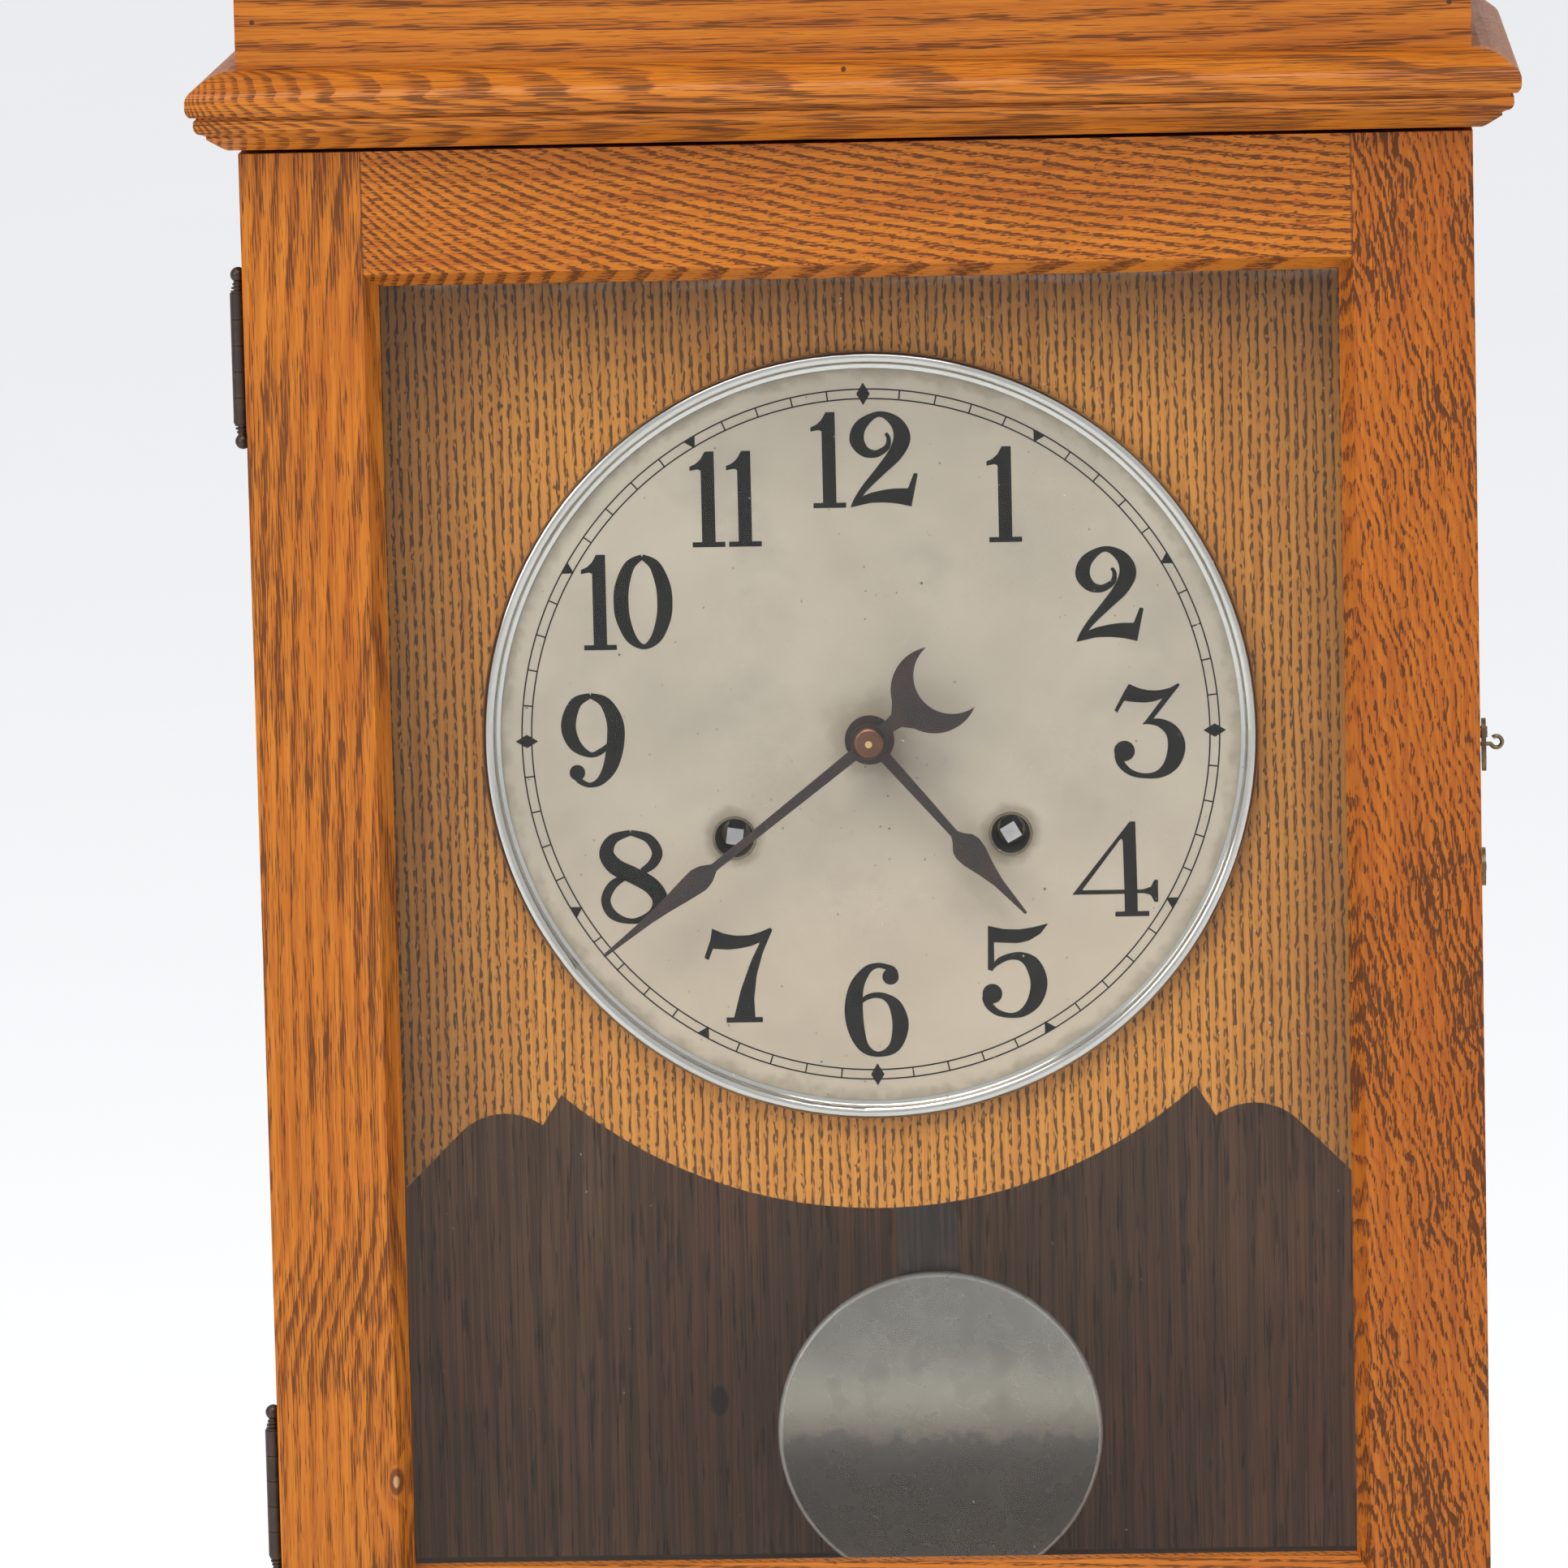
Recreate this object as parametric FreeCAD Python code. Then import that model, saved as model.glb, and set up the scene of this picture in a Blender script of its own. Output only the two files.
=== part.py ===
import FreeCAD, Part
import math
import os

# Cased punch time clock: an oak case with a glazed clock door above and a
# card recorder below.  Millimetres.  X runs to the viewer's right, Y to the
# back, Z up.  The origin is on the floor, under the middle of the case.

V = FreeCAD.Vector

# ---------------------------------------------------------------- case
CASE_W = 479.0
CASE_D = 272.0
HALF_W = CASE_W / 2
FRONT = -CASE_D / 2
BACK = CASE_D / 2
DOOR_T = 22.0
DOOR_GAP = 1.0
CARCASS_FRONT = FRONT + DOOR_T + DOOR_GAP
SIDE_T = 19.0
INNER_HALF = HALF_W - SIDE_T
BACK_T = 12.0
BACK_BOARD_Y = BACK - BACK_T
BOTTOM_Z = 0.0
BOARD_T = 18.0
BASE_H = 60.0
WAIST_Z = 351.0
WAIST_TOP = 391.0
DOOR_Z = 393.0
DOOR_TOP = 1011.0
RAIL_LOW = 963.0  # lower edge of the door's top rail
CORNICE_Z = DOOR_TOP + 1.6
CASE_TOP = 1098.0
CAP_T = 18.0
CAP_OUT = 18.0

# wall screws through the back board
WALL_X = 150.0
WALL_Z = (257.0, 1057.0)
WALL_HOLE_R = 3.0

# ---------------------------------------------------------------- door
STILE_W = 47.0
BEVEL_W = 5.5
BEVEL_D = 9.0
LIP_D = 10.0
RABBET_W = 8.0
GLASS_T = 2.5
HINGE_Z = (473.7, 928.8)
HINGE_X = -HALF_W - 3.6
HINGE_Y = CARCASS_FRONT - DOOR_GAP / 2
KNUCKLE_R = 3.5
KNUCKLE_LEN = 10.3
KNUCKLES = 5
LEAF_T = 1.2
LEAF_W = 17.5
PIN_R = 1.5
RUN = 0.05  # running clearance of a pin or arbor in its hole

# ---------------------------------------------------------------- dial
DIAL_Z = 772.0
PANEL_Y = FRONT + 44.0
PANEL_T = 12.0
PANEL_BACK = PANEL_Y + PANEL_T
PANEL_TOP = 990.0
SCALLOP_R = 190.5
PEAK_X = 126.2
HUMP_X = 149.0
HUMP_R = 25.0
HUMP_DROP = 175.0
NOTCH_X = 134.0
SHOULDER_X = 205.0
DIAL_R = 149.4
DIAL_T = 2.0
DIAL_FACE = PANEL_Y - DIAL_T
BEZEL_R = 153.5
BEZEL_IN_R = 146.4
WINDING = ((-54.7, -40.0), (54.7, -40.0))
WINDING_HOLE_R = 8.6

# the clock stands at twenty-two minutes to five
MINUTE_ANGLE = 231.9
HOUR_ANGLE = 139.3
MINUTE_LEN = 135.5
HOUR_LEN = 92.6
MINUTE_Y = -112.4
HOUR_Y = -105.5
HAND_T = 1.0

# ---------------------------------------------------------------- movement
PLATE_T = 2.5
FRONT_PLATE_Y = -66.0
BACK_PLATE_Y = -18.0
PLATE_HALF_W = 112.0
PLATE_LOW = -104.0
PLATE_HIGH = 122.0
GREAT_TEETH, CENTRE_LEAVES, GREAT_M = 108, 12, 1.129
CENTRE_TEETH, THIRD_LEAVES, CENTRE_M = 80, 10, 0.9
THIRD_TEETH, ESCAPE_LEAVES, THIRD_M = 70, 8, 0.8
CANNON_LEAVES, MINUTE_TEETH, CANNON_M = 12, 36, 1.0
MINUTE_LEAVES, HOUR_TEETH, HOUR_M = 10, 40, 0.96
ESCAPE_TEETH, ESCAPE_R = 40, 24.0
THIRD_AT = (7.69, 39.76)
ESCAPE_AT = (0.0, 70.0)
VERGE_AT = (0.0, 102.7)
MINUTE_AT = (0.0, -24.0)
PILLARS = ((-104.0, -92.0), (104.0, -92.0), (-100.0, 110.0), (100.0, 110.0))
CENTRE_R = 3.0
ARBOR_R = 1.5
WINDING_R = 5.0
SQUARE = 6.5
SPRING_OUT_R = 29.0

# ---------------------------------------------------------------- pendulum
PIVOT_Z = DIAL_Z + VERGE_AT[1]
SWING = 2.7  # degrees that it stands swung to the viewer's right
PENDULUM_Y = 14.0
ROD_W = 24.7
ROD_T = 7.0
BOB_DROP = 406.2
BOB_R = 66.4

# ---------------------------------------------------------------- recorder
FLANGE_Y = FRONT - 3.0
BED_Z = BOTTOM_Z + BOARD_T
BED_TOP = BED_Z + 6.0
FLANGE_HALF_W = 206.0
WINDOW_HALF = 122.0
WINDOW_Z = (92.0, 322.0)
CHEEK_T = 4.0
COVER_HALF = 146.0
COVER_Z = (84.0, 330.0)
COVER_FRONT = -214.0
COVER_T = 2.5
COVER_HINGE = (-151.0, -144.0)
COVER_KNUCKLES = ((104.0, 126.0), (288.0, 310.0))
TYPE_Y, TYPE_Z, TYPE_R = -125.0, 215.0, 31.0
THROAT_HALF = 50.0
THROAT_BACK = -160.3
THROAT_GAP = 6.0
SHEET = 1.2
RODS = ((-150.0, 285.0), (-150.0, 142.0))
ROD_R = 3.0
HAMMER_Y, HAMMER_Z = -185.0, 130.0
LEVER_Y, LEVER_Z, LEVER_R = -180.0, 108.0, 5.0
KNOB_AT = (156.0, -262.0, 190.0)
KNOB_R = 14.0
SPOOL_X, SPOOL_Y, SPOOL_R = 92.0, -144.0, 14.0
RIBBON_Y = -157.0
TRIP_X, TRIP_Y, TRIP_R = -205.0, -40.5, 1.5
TRIP_TOP, TRIP_LOW = 800.0, 226.0
BELL_AT = (170.0, 10.0)
BELL_R = 38.0
BELL_HAMMER_AT = (-50.0, 120.0)

MADE = {}


# ================================================================ helpers
def box(x0, x1, y0, y1, z0, z1):
    """A block between three pairs of faces."""
    return Part.makeBox(x1 - x0, y1 - y0, z1 - z0, V(x0, y0, z0))


def rod(radius, start, end):
    """A round bar from one point to another."""
    start, end = V(*start), V(*end)
    return Part.makeCylinder(radius, (end - start).Length, start, end - start)


def along_y(radius, x, z, y0, y1):
    return rod(radius, (x, y0, z), (x, y1, z))


def along_x(radius, y, z, x0, x1):
    return rod(radius, (x0, y, z), (x1, y, z))


def along_z(radius, x, y, z0, z1):
    return rod(radius, (x, y, z0), (x, y, z1))


def ball(radius, x, y, z):
    return Part.makeSphere(radius, V(x, y, z))


def in_xz(y):
    return lambda p: V(p[0], y, p[1])


def in_yz(x):
    return lambda p: V(x, p[0], p[1])


def in_xy(z):
    return lambda p: V(p[0], p[1], z)


def face(path, place):
    """A face round a path.  A step is a point, or (middle, end) of an arc."""
    edges = []
    first = last = place(path[0])
    for step in path[1:]:
        if isinstance(step[0], tuple):
            middle, end = place(step[0]), place(step[1])
            edges.append(Part.Arc(last, middle, end).toShape())
        else:
            end = place(step)
            edges.append(Part.LineSegment(last, end).toShape())
        last = end
    if (last - first).Length > 1e-6:
        edges.append(Part.LineSegment(last, first).toShape())
    return Part.Face(Part.Wire(edges))


def slab_xz(path, y0, y1):
    """An outline seen from the front, given a thickness in Y."""
    return face(path, in_xz(y0)).extrude(V(0, y1 - y0, 0))


def slab_yz(path, x0, x1):
    return face(path, in_yz(x0)).extrude(V(x1 - x0, 0, 0))


def slab_xy(path, z0, z1):
    return face(path, in_xy(z0)).extrude(V(0, 0, z1 - z0))


def turned(path, x, z):
    """A section of (radius, y) points turned about an axis along Y."""
    section = face(path, lambda p: V(x + p[0], p[1], z))
    return section.revolve(V(x, 0, z), V(0, 1, 0), 360)


def fuse(*shapes):
    whole = shapes[0]
    for shape in shapes[1:]:
        whole = whole.fuse(shape)
    return whole.removeSplitter()


def mirrored(shape):
    return shape.mirror(V(0, 0, 0), V(1, 0, 0))


def clockwise(radius, degrees):
    """A point at this radius and clock angle, seen from the front."""
    a = math.radians(degrees)
    return (radius * math.sin(a), radius * math.cos(a))


def on_dial(x, z):
    return (x, DIAL_Z + z)


def keep(name, *solids):
    """Stores a node made of one or more solids."""
    MADE[name] = solids[0] if len(solids) == 1 else Part.makeCompound(list(solids))


# ================================================================ gears
# Each profile is a list of (height over the pitch circle, half thickness),
# both in modules.
WHEEL_TOOTH = ((-1.45, 0.68), (0.0, 0.68), (0.47, 0.54), (0.84, 0.31), (1.05, 0.08))
PINION_LEAF = ((-1.55, 0.43), (0.0, 0.48), (0.31, 0.41), (0.53, 0.24), (0.62, 0.07))


def gear(teeth, module, profile, at, y0, y1, phase):
    """A toothed wheel at a dial position, with a tooth at the phase angle."""
    pitch_r = teeth * module / 2
    points = []
    for k in range(teeth):
        middle = phase + 360.0 * k / teeth
        flanks = [(h, -w) for h, w in profile] + [(h, w) for h, w in profile[::-1]]
        for height, width in flanks:
            turn = middle + math.degrees(width * module / pitch_r)
            x, z = clockwise(pitch_r + height * module, turn)
            points.append(on_dial(at[0] + x, at[1] + z))
    return slab_xz(points, y0, y1)


def line_angle(a, b):
    """The clock angle of the line from one centre to another."""
    return math.degrees(math.atan2(b[0] - a[0], b[1] - a[1]))


def meshing(phase, teeth, other_teeth, a, b):
    """The phase at which a gear at b is in mesh with the one at a."""
    line = line_angle(a, b)
    half_pitch = 180.0 / other_teeth
    return line + 180.0 + half_pitch - (phase - line) * teeth / other_teeth


def spoked(wheel, at, y0, y1, inner, outer, spokes, width):
    """Cuts the openings between a wheel's spokes."""
    ring = turned([(inner, y0), (outer, y0), (outer, y1), (inner, y1)], *on_dial(*at))
    for k in range(spokes):
        arm = box(at[0] - width / 2, at[0] + width / 2, y0, y1, DIAL_Z + at[1], DIAL_Z + at[1] + outer + 1)
        arm.rotate(V(at[0], 0, DIAL_Z + at[1]), V(0, 1, 0), 360.0 * k / spokes)
        ring = ring.cut(arm)
    return wheel.cut(ring)


# ================================================================ case
def moulding(section, z0, back):
    """A mitred moulding round the front and both sides.  The section is
    a path of (projection, height) points that starts and ends at the case."""
    reach = 60.0
    front = face(section, lambda p: V(-HALF_W - reach, FRONT - p[0], z0 + p[1]))
    front = front.extrude(V(CASE_W + 2 * reach, 0, 0))
    corner = [(-HALF_W, FRONT), (HALF_W, FRONT)]
    corner += [(HALF_W + reach, FRONT - reach), (-HALF_W - reach, FRONT - reach)]
    front = front.common(slab_xy(corner, z0 - 10, z0 + 200))
    side = face(section, lambda p: V(HALF_W + p[0], FRONT - reach, z0 + p[1]))
    side = side.extrude(V(0, back - FRONT + reach, 0))
    corner = [(HALF_W, FRONT), (HALF_W + reach, FRONT - reach), (HALF_W + reach, back), (HALF_W, back)]
    side = side.common(slab_xy(corner, z0 - 10, z0 + 200))
    return front, side, mirrored(side)


def make_case():
    left = box(-HALF_W, -INNER_HALF, CARCASS_FRONT, BACK, 0, CASE_TOP)
    right = mirrored(left)
    for z in HINGE_Z:
        half = KNUCKLES * KNUCKLE_LEN / 2
        mortise = box(-HALF_W - 1, -HALF_W + LEAF_W, CARCASS_FRONT - 1, CARCASS_FRONT + LEAF_T, z - half, z + half)
        left = left.cut(mortise)
    keyhole = along_x(3.0, KEY_Y, KEY_Z - 9.0, INNER_HALF - 1, HALF_W + 1)
    slot = box(INNER_HALF - 1, HALF_W + 1, KEY_Y - 1.2, KEY_Y + 1.2, KEY_Z - 16.0, KEY_Z - 9.0)
    right = right.cut(keyhole).cut(slot)
    for y, z, radius, depth in SCREW_HOLES:
        right = right.cut(along_x(radius, y, z, HALF_W - depth, HALF_W + 1))
    keep("case_side_left", left)
    keep("case_side_right", right)

    back = box(-INNER_HALF, INNER_HALF, BACK_BOARD_Y, BACK_BOARD_Y + BACK_T, BOTTOM_Z, CASE_TOP)
    for x in (-WALL_X, WALL_X):
        for z in WALL_Z:
            back = back.cut(along_y(WALL_HOLE_R, x, z, BACK_BOARD_Y - 1, BACK + 1))
    keep("back_board", back)

    bottom = box(-INNER_HALF, INNER_HALF, CARCASS_FRONT, BACK_BOARD_Y, BOTTOM_Z, BOTTOM_Z + BOARD_T)
    keep("bottom_board", bottom)
    shelf = box(-INNER_HALF, INNER_HALF, CARCASS_FRONT, BACK_BOARD_Y, WAIST_TOP - BOARD_T, WAIST_TOP)
    trip_hole = along_z(4.0, TRIP_X, TRIP_Y, WAIST_TOP - BOARD_T - 1, WAIST_TOP + 1)
    keep("shelf_board", shelf.cut(trip_hole))

    cap_half = HALF_W + CAP_OUT
    cap = box(-cap_half, cap_half, FRONT - CAP_OUT, BACK, CASE_TOP, CASE_TOP + CAP_T)
    rounded = []
    for edge in cap.Edges:
        middle = edge.CenterOfMass
        level = abs(middle.z - (CASE_TOP + CAP_T)) < 0.1
        if level and middle.y < BACK - 1:
            rounded.append(edge)
    keep("top_cap", cap.makeFillet(10.0, rounded))

    keep("frieze_board", box(-HALF_W, HALF_W, FRONT, CARCASS_FRONT, CORNICE_Z, CASE_TOP))

    # from the bottom: ogee, quirk, bead, quirk, nose and sloping top
    cornice = [(0, 0.2), (3.5, 0.2), (4.8, 0.8), ((6.9, 2.2), (9.3, 3.9)), (11.2, 5.2), (11.2, 6.4)]
    cornice += [(12.8, 7.2), ((15.0, 8.4), (15.7, 11.2)), (15.7, 12.6), (14.6, 12.8), (14.6, 13.9)]
    cornice += [(16.9, 14.2), ((18.2, 15.8), (18.6, 18.2)), (18.6, 20.4), ((18.0, 22.2), (15.8, 24.6))]
    cornice += [(10.6, 28.5), (8.0, 29.8), (3.5, 31.0), (0, 31.0)]
    keep("cornice_moulding", *moulding(cornice, CORNICE_Z, BACK))

    base = [(0, 0), (16, 0), (16, 38), ((15.2, 40.6), (13, 42)), (12, 44)]
    base += [((10.0, 50.0), (4, 54)), (3, 58), (0, 60)]
    keep("base_moulding", *moulding(base, 0, BACK))

    stile = box(HALF_W - STILE_W, HALF_W, FRONT, CARCASS_FRONT, 0, WAIST_TOP)
    rail_half = HALF_W - STILE_W
    base_rail = box(-rail_half, rail_half, FRONT, CARCASS_FRONT, 0, BASE_H)
    waist_rail = box(-rail_half, rail_half, FRONT, CARCASS_FRONT, WAIST_Z, WAIST_TOP)
    keep("recorder_face_frame", stile, mirrored(stile), base_rail, waist_rail)


def make_dial_panel():
    """The oak panel behind the dial, with its scalloped lower edge."""
    peak_z = DIAL_Z - math.sqrt(SCALLOP_R**2 - PEAK_X**2)
    hump_z = DIAL_Z - HUMP_DROP
    notch_z = hump_z + math.sqrt(HUMP_R**2 - (HUMP_X - NOTCH_X) ** 2)
    slant = HUMP_R * math.sqrt(0.5)
    end_z = hump_z + slant - (SHOULDER_X - HUMP_X - slant)
    path = [(-INNER_HALF, PANEL_TOP), (INNER_HALF, PANEL_TOP), (INNER_HALF, end_z), (SHOULDER_X, end_z)]
    path += [(HUMP_X + slant, hump_z + slant), ((HUMP_X, hump_z + HUMP_R), (NOTCH_X, notch_z))]
    path += [(PEAK_X, peak_z), ((0.0, DIAL_Z - SCALLOP_R), (-PEAK_X, peak_z)), (-NOTCH_X, notch_z)]
    path += [((-HUMP_X, hump_z + HUMP_R), (-HUMP_X - slant, hump_z + slant))]
    path += [(-SHOULDER_X, end_z), (-INNER_HALF, end_z)]
    panel = slab_xz(path, PANEL_Y, PANEL_BACK)
    panel = panel.cut(along_y(7.0, 0, DIAL_Z, PANEL_Y - 1, PANEL_BACK + 1))
    for x, z in WINDING:
        panel = panel.cut(along_y(WINDING_HOLE_R, x, DIAL_Z + z, PANEL_Y - 1, PANEL_BACK + 1))
    keep("dial_panel", panel)


# ================================================================ door
def make_door():
    back = FRONT + DOOR_T
    flat = HALF_W - STILE_W
    sight = flat - BEVEL_W
    whole = box(-HALF_W, HALF_W, FRONT, back, DOOR_Z, DOOR_TOP)

    def opening(half, inset, y):
        low, high = DOOR_Z + STILE_W + inset, RAIL_LOW - inset
        corners = [V(-half, y, low), V(half, y, low), V(half, y, high), V(-half, y, high)]
        return Part.makePolygon(corners + corners[:1])

    bevel = Part.makeLoft([opening(flat, 0, FRONT), opening(sight, BEVEL_W, FRONT + BEVEL_D)], True)
    low, high = DOOR_Z + STILE_W + BEVEL_W, RAIL_LOW - BEVEL_W
    hole = box(-sight, sight, FRONT + BEVEL_D, back, low, high)
    wide = sight + RABBET_W
    rabbet = box(-wide, wide, FRONT + LIP_D, back, low - RABBET_W, high + RABBET_W)
    frame = whole.cut(bevel).cut(hole).cut(rabbet)

    stile = [(-HALF_W, DOOR_Z), (-flat, DOOR_Z), (-flat, DOOR_Z + STILE_W), (-sight, low)]
    stile += [(-sight, high), (-flat, RAIL_LOW), (-flat, DOOR_TOP), (-HALF_W, DOOR_TOP)]
    left = frame.common(slab_xz(stile, FRONT, back))
    right = mirrored(left)
    rails = frame.cut(left).cut(right).Solids
    rails.sort(key=lambda solid: solid.CenterOfMass.z)
    for z in HINGE_Z:
        half = KNUCKLES * KNUCKLE_LEN / 2
        left = left.cut(box(-HALF_W - 1, -HALF_W + LEAF_W, back - LEAF_T, back + 1, z - half, z + half))
    keep("door_stile_left", left)
    keep("door_stile_right", right)
    keep("door_rail_bottom", rails[0])
    keep("door_rail_top", rails[1])

    glass_y = FRONT + LIP_D
    edge = wide - 0.5
    low_edge, high_edge = low - RABBET_W + 0.5, high + RABBET_W - 0.5
    keep("door_glass", box(-edge, edge, glass_y, glass_y + GLASS_T, low_edge, high_edge))

    bead_y0, bead_y1 = glass_y + GLASS_T, back - 1.0
    across = 7.0
    bead = box(-wide, -wide + across, bead_y0, bead_y1, low - RABBET_W, high + RABBET_W)
    lower = box(-wide + across, wide - across, bead_y0, bead_y1, low - RABBET_W, low - RABBET_W + across)
    lift = high - low + 2 * RABBET_W - across
    upper = lower.copy()
    upper.translate(V(0, 0, lift))
    keep("glazing_beads", bead, mirrored(bead), lower, upper)


def make_hinges():
    """Two five-knuckle butt hinges whose pins end in turned balls."""
    half = KNUCKLES * KNUCKLE_LEN / 2
    leaf_x = HINGE_X + KNUCKLE_R + 0.2
    end_x = -HALF_W + LEAF_W
    door_leaves, case_leaves, pins = [], [], []
    for z in HINGE_Z:
        sides = {0: [], 1: []}
        for k in range(KNUCKLES):
            z0 = z - half + k * KNUCKLE_LEN + 0.1
            z1 = z0 + KNUCKLE_LEN - 0.2
            knuckle = along_z(KNUCKLE_R, HINGE_X, HINGE_Y, z0, z1)
            y0 = CARCASS_FRONT if k % 2 == 0 else FRONT + DOOR_T - LEAF_T
            bridge = box(HINGE_X, leaf_x + 1, y0, y0 + LEAF_T, z0, z1)
            sides[k % 2].append(fuse(knuckle, bridge))
        bore = along_z(PIN_R + RUN, HINGE_X, HINGE_Y, z - half - 1, z + half + 1)
        case_leaf = box(leaf_x, end_x, CARCASS_FRONT, CARCASS_FRONT + LEAF_T, z - half, z + half)
        back = FRONT + DOOR_T
        door_leaf = box(leaf_x, end_x, back - LEAF_T, back, z - half, z + half)
        case_leaves.append(fuse(case_leaf, *sides[0]).cut(bore))
        door_leaves.append(fuse(door_leaf, *sides[1]).cut(bore))
        pin = along_z(PIN_R, HINGE_X, HINGE_Y, z - half - 6, z + half + 6)
        for sign in (-1, 1):
            end = z + sign * half
            pin = fuse(pin, ball(3.1, HINGE_X, HINGE_Y, end + sign * 7.1))
            for radius, near, far in ((3.1, 0.0, 0.8), (1.9, 0.0, 5.0), (2.8, 1.6, 2.3), (2.4, 3.1, 3.7)):
                pin = fuse(pin, along_z(radius, HINGE_X, HINGE_Y, end + sign * near, end + sign * far))
        pins.append(pin)
    for z0, z1 in COVER_KNUCKLES:
        pins.append(along_z(2.0, *COVER_HINGE, z0 - 9.0, z1 + 9.0))
    keep("hinge_leaves_door", *door_leaves)
    keep("hinge_leaves_case", *case_leaves)
    keep("hinge_pins", *pins)


# the keyhole's swinging cover and the small brasses on the right side
KEY_Y = FRONT + 45.0
KEY_Z = DIAL_Z - 3.0
HOOK_Y = KEY_Y + 16.0
HOOK_Z = DIAL_Z - 10.2
PLATE_Z = DIAL_Z - 56.8
PIVOT_R, WIRE_R, SCREW_R = 1.2, 0.85, 1.6
SCREW_HOLES = ((KEY_Y, KEY_Z, PIVOT_R, 8.0), (HOOK_Y, HOOK_Z, WIRE_R, 8.0), (KEY_Y, PLATE_Z, SCREW_R, 10.0))


def make_side_brasses():
    face_x = HALF_W
    cover_x = face_x + 1.6
    path = [(KEY_Y - 5.5, KEY_Z + 1.0), ((KEY_Y, KEY_Z + 5.5), (KEY_Y + 5.5, KEY_Z + 1.0))]
    path += [(KEY_Y + 6.5, KEY_Z - 9.5), ((KEY_Y, KEY_Z - 15.5), (KEY_Y - 6.5, KEY_Z - 9.5))]
    cover = slab_yz(path, cover_x, cover_x + 1.7)
    cover = cover.cut(along_x(PIVOT_R + RUN, KEY_Y, KEY_Z, face_x, face_x + 5))
    keep("keyhole_cover", cover)

    pivot = along_x(PIVOT_R, KEY_Y, KEY_Z, face_x - 8.0, cover_x + 2.2)
    head = along_x(2.2, KEY_Y, KEY_Z, cover_x + 1.8, cover_x + 2.3)
    washer = along_x(2.4, KEY_Y, KEY_Z, face_x, cover_x - 0.1)

    # cup hook: a straight shank, a short drop and an open loop
    bend_r = 2.25
    centre = V(face_x + 7.85, HOOK_Y, HOOK_Z + 0.74)
    corner = centre + V(-2.44, 0, -0.74)
    start = centre + V(-bend_r, 0, -bend_r) * math.sqrt(0.5)
    drop = start - corner
    shank = along_x(WIRE_R, HOOK_Y, HOOK_Z, face_x - 8.0, corner.x)
    collar = along_x(2.6, HOOK_Y, HOOK_Z, face_x, face_x + 1.0)
    slope = Part.makeCylinder(WIRE_R, drop.Length, corner, drop)
    section = Part.Face(Part.Wire(Part.makeCircle(WIRE_R, start, drop)))
    loop = section.revolve(centre, V(0, -1, 0), 264.0)
    hook = fuse(shank, collar, Part.makeSphere(WIRE_R, corner), slope, loop)

    plate = along_x(7.6, KEY_Y, PLATE_Z, face_x, face_x + 2.6)
    screw = along_x(SCREW_R, KEY_Y, PLATE_Z, face_x - 10.0, face_x + 2.6)
    dome = Part.makeSphere(11.4, V(face_x - 8.4, KEY_Y, PLATE_Z))
    dome = dome.common(box(face_x + 2.5, face_x + 10, KEY_Y - 9, KEY_Y + 9, PLATE_Z - 9, PLATE_Z + 9))
    keep("side_brasses", fuse(pivot, head, washer), hook, fuse(plate, screw, dome))


# ================================================================ dial
def make_dial():
    plate = along_y(DIAL_R, 0, DIAL_Z, DIAL_FACE, PANEL_Y)
    plate = plate.cut(along_y(6.0, 0, DIAL_Z, DIAL_FACE - 1, PANEL_Y + 1))
    collets = []
    for x, z in WINDING:
        plate = plate.cut(along_y(WINDING_HOLE_R, x, DIAL_Z + z, DIAL_FACE - 1, PANEL_Y + 1))
        section = [(7.7, DIAL_FACE - 0.4), (8.5, DIAL_FACE - 0.4), (8.5, PANEL_BACK)]
        section += [(5.6, PANEL_BACK), (5.6, PANEL_BACK - 2.0)]
        collets.append(turned(section, x, DIAL_Z + z))
    keep("dial_plate", plate)
    keep("winding_collets", *collets)

    lip_y = DIAL_FACE - 0.1
    section = [(DIAL_R + 0.1, PANEL_Y), (BEZEL_R, PANEL_Y), (BEZEL_R, PANEL_Y - 3.6)]
    section += [((BEZEL_R - 2.7, PANEL_Y - 6.8), (BEZEL_R - 5.4, PANEL_Y - 3.9))]
    section += [(BEZEL_R - 5.6, PANEL_Y - 3.0), (BEZEL_IN_R, PANEL_Y - 2.7), (BEZEL_IN_R, lip_y)]
    section += [(DIAL_R + 0.1, lip_y)]
    keep("dial_bezel", turned(section, 0, DIAL_Z))


def hand(widths, y, angle):
    """A flat hand from its half widths along its length."""
    right = [(w, r) for r, w in widths]
    left = [(-w, r) for r, w in widths[::-1]]
    blade = slab_xz([on_dial(x, z) for x, z in right + left], y, y + HAND_T)
    blade.rotate(V(0, 0, DIAL_Z), V(0, 1, 0), angle)
    return blade


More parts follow.
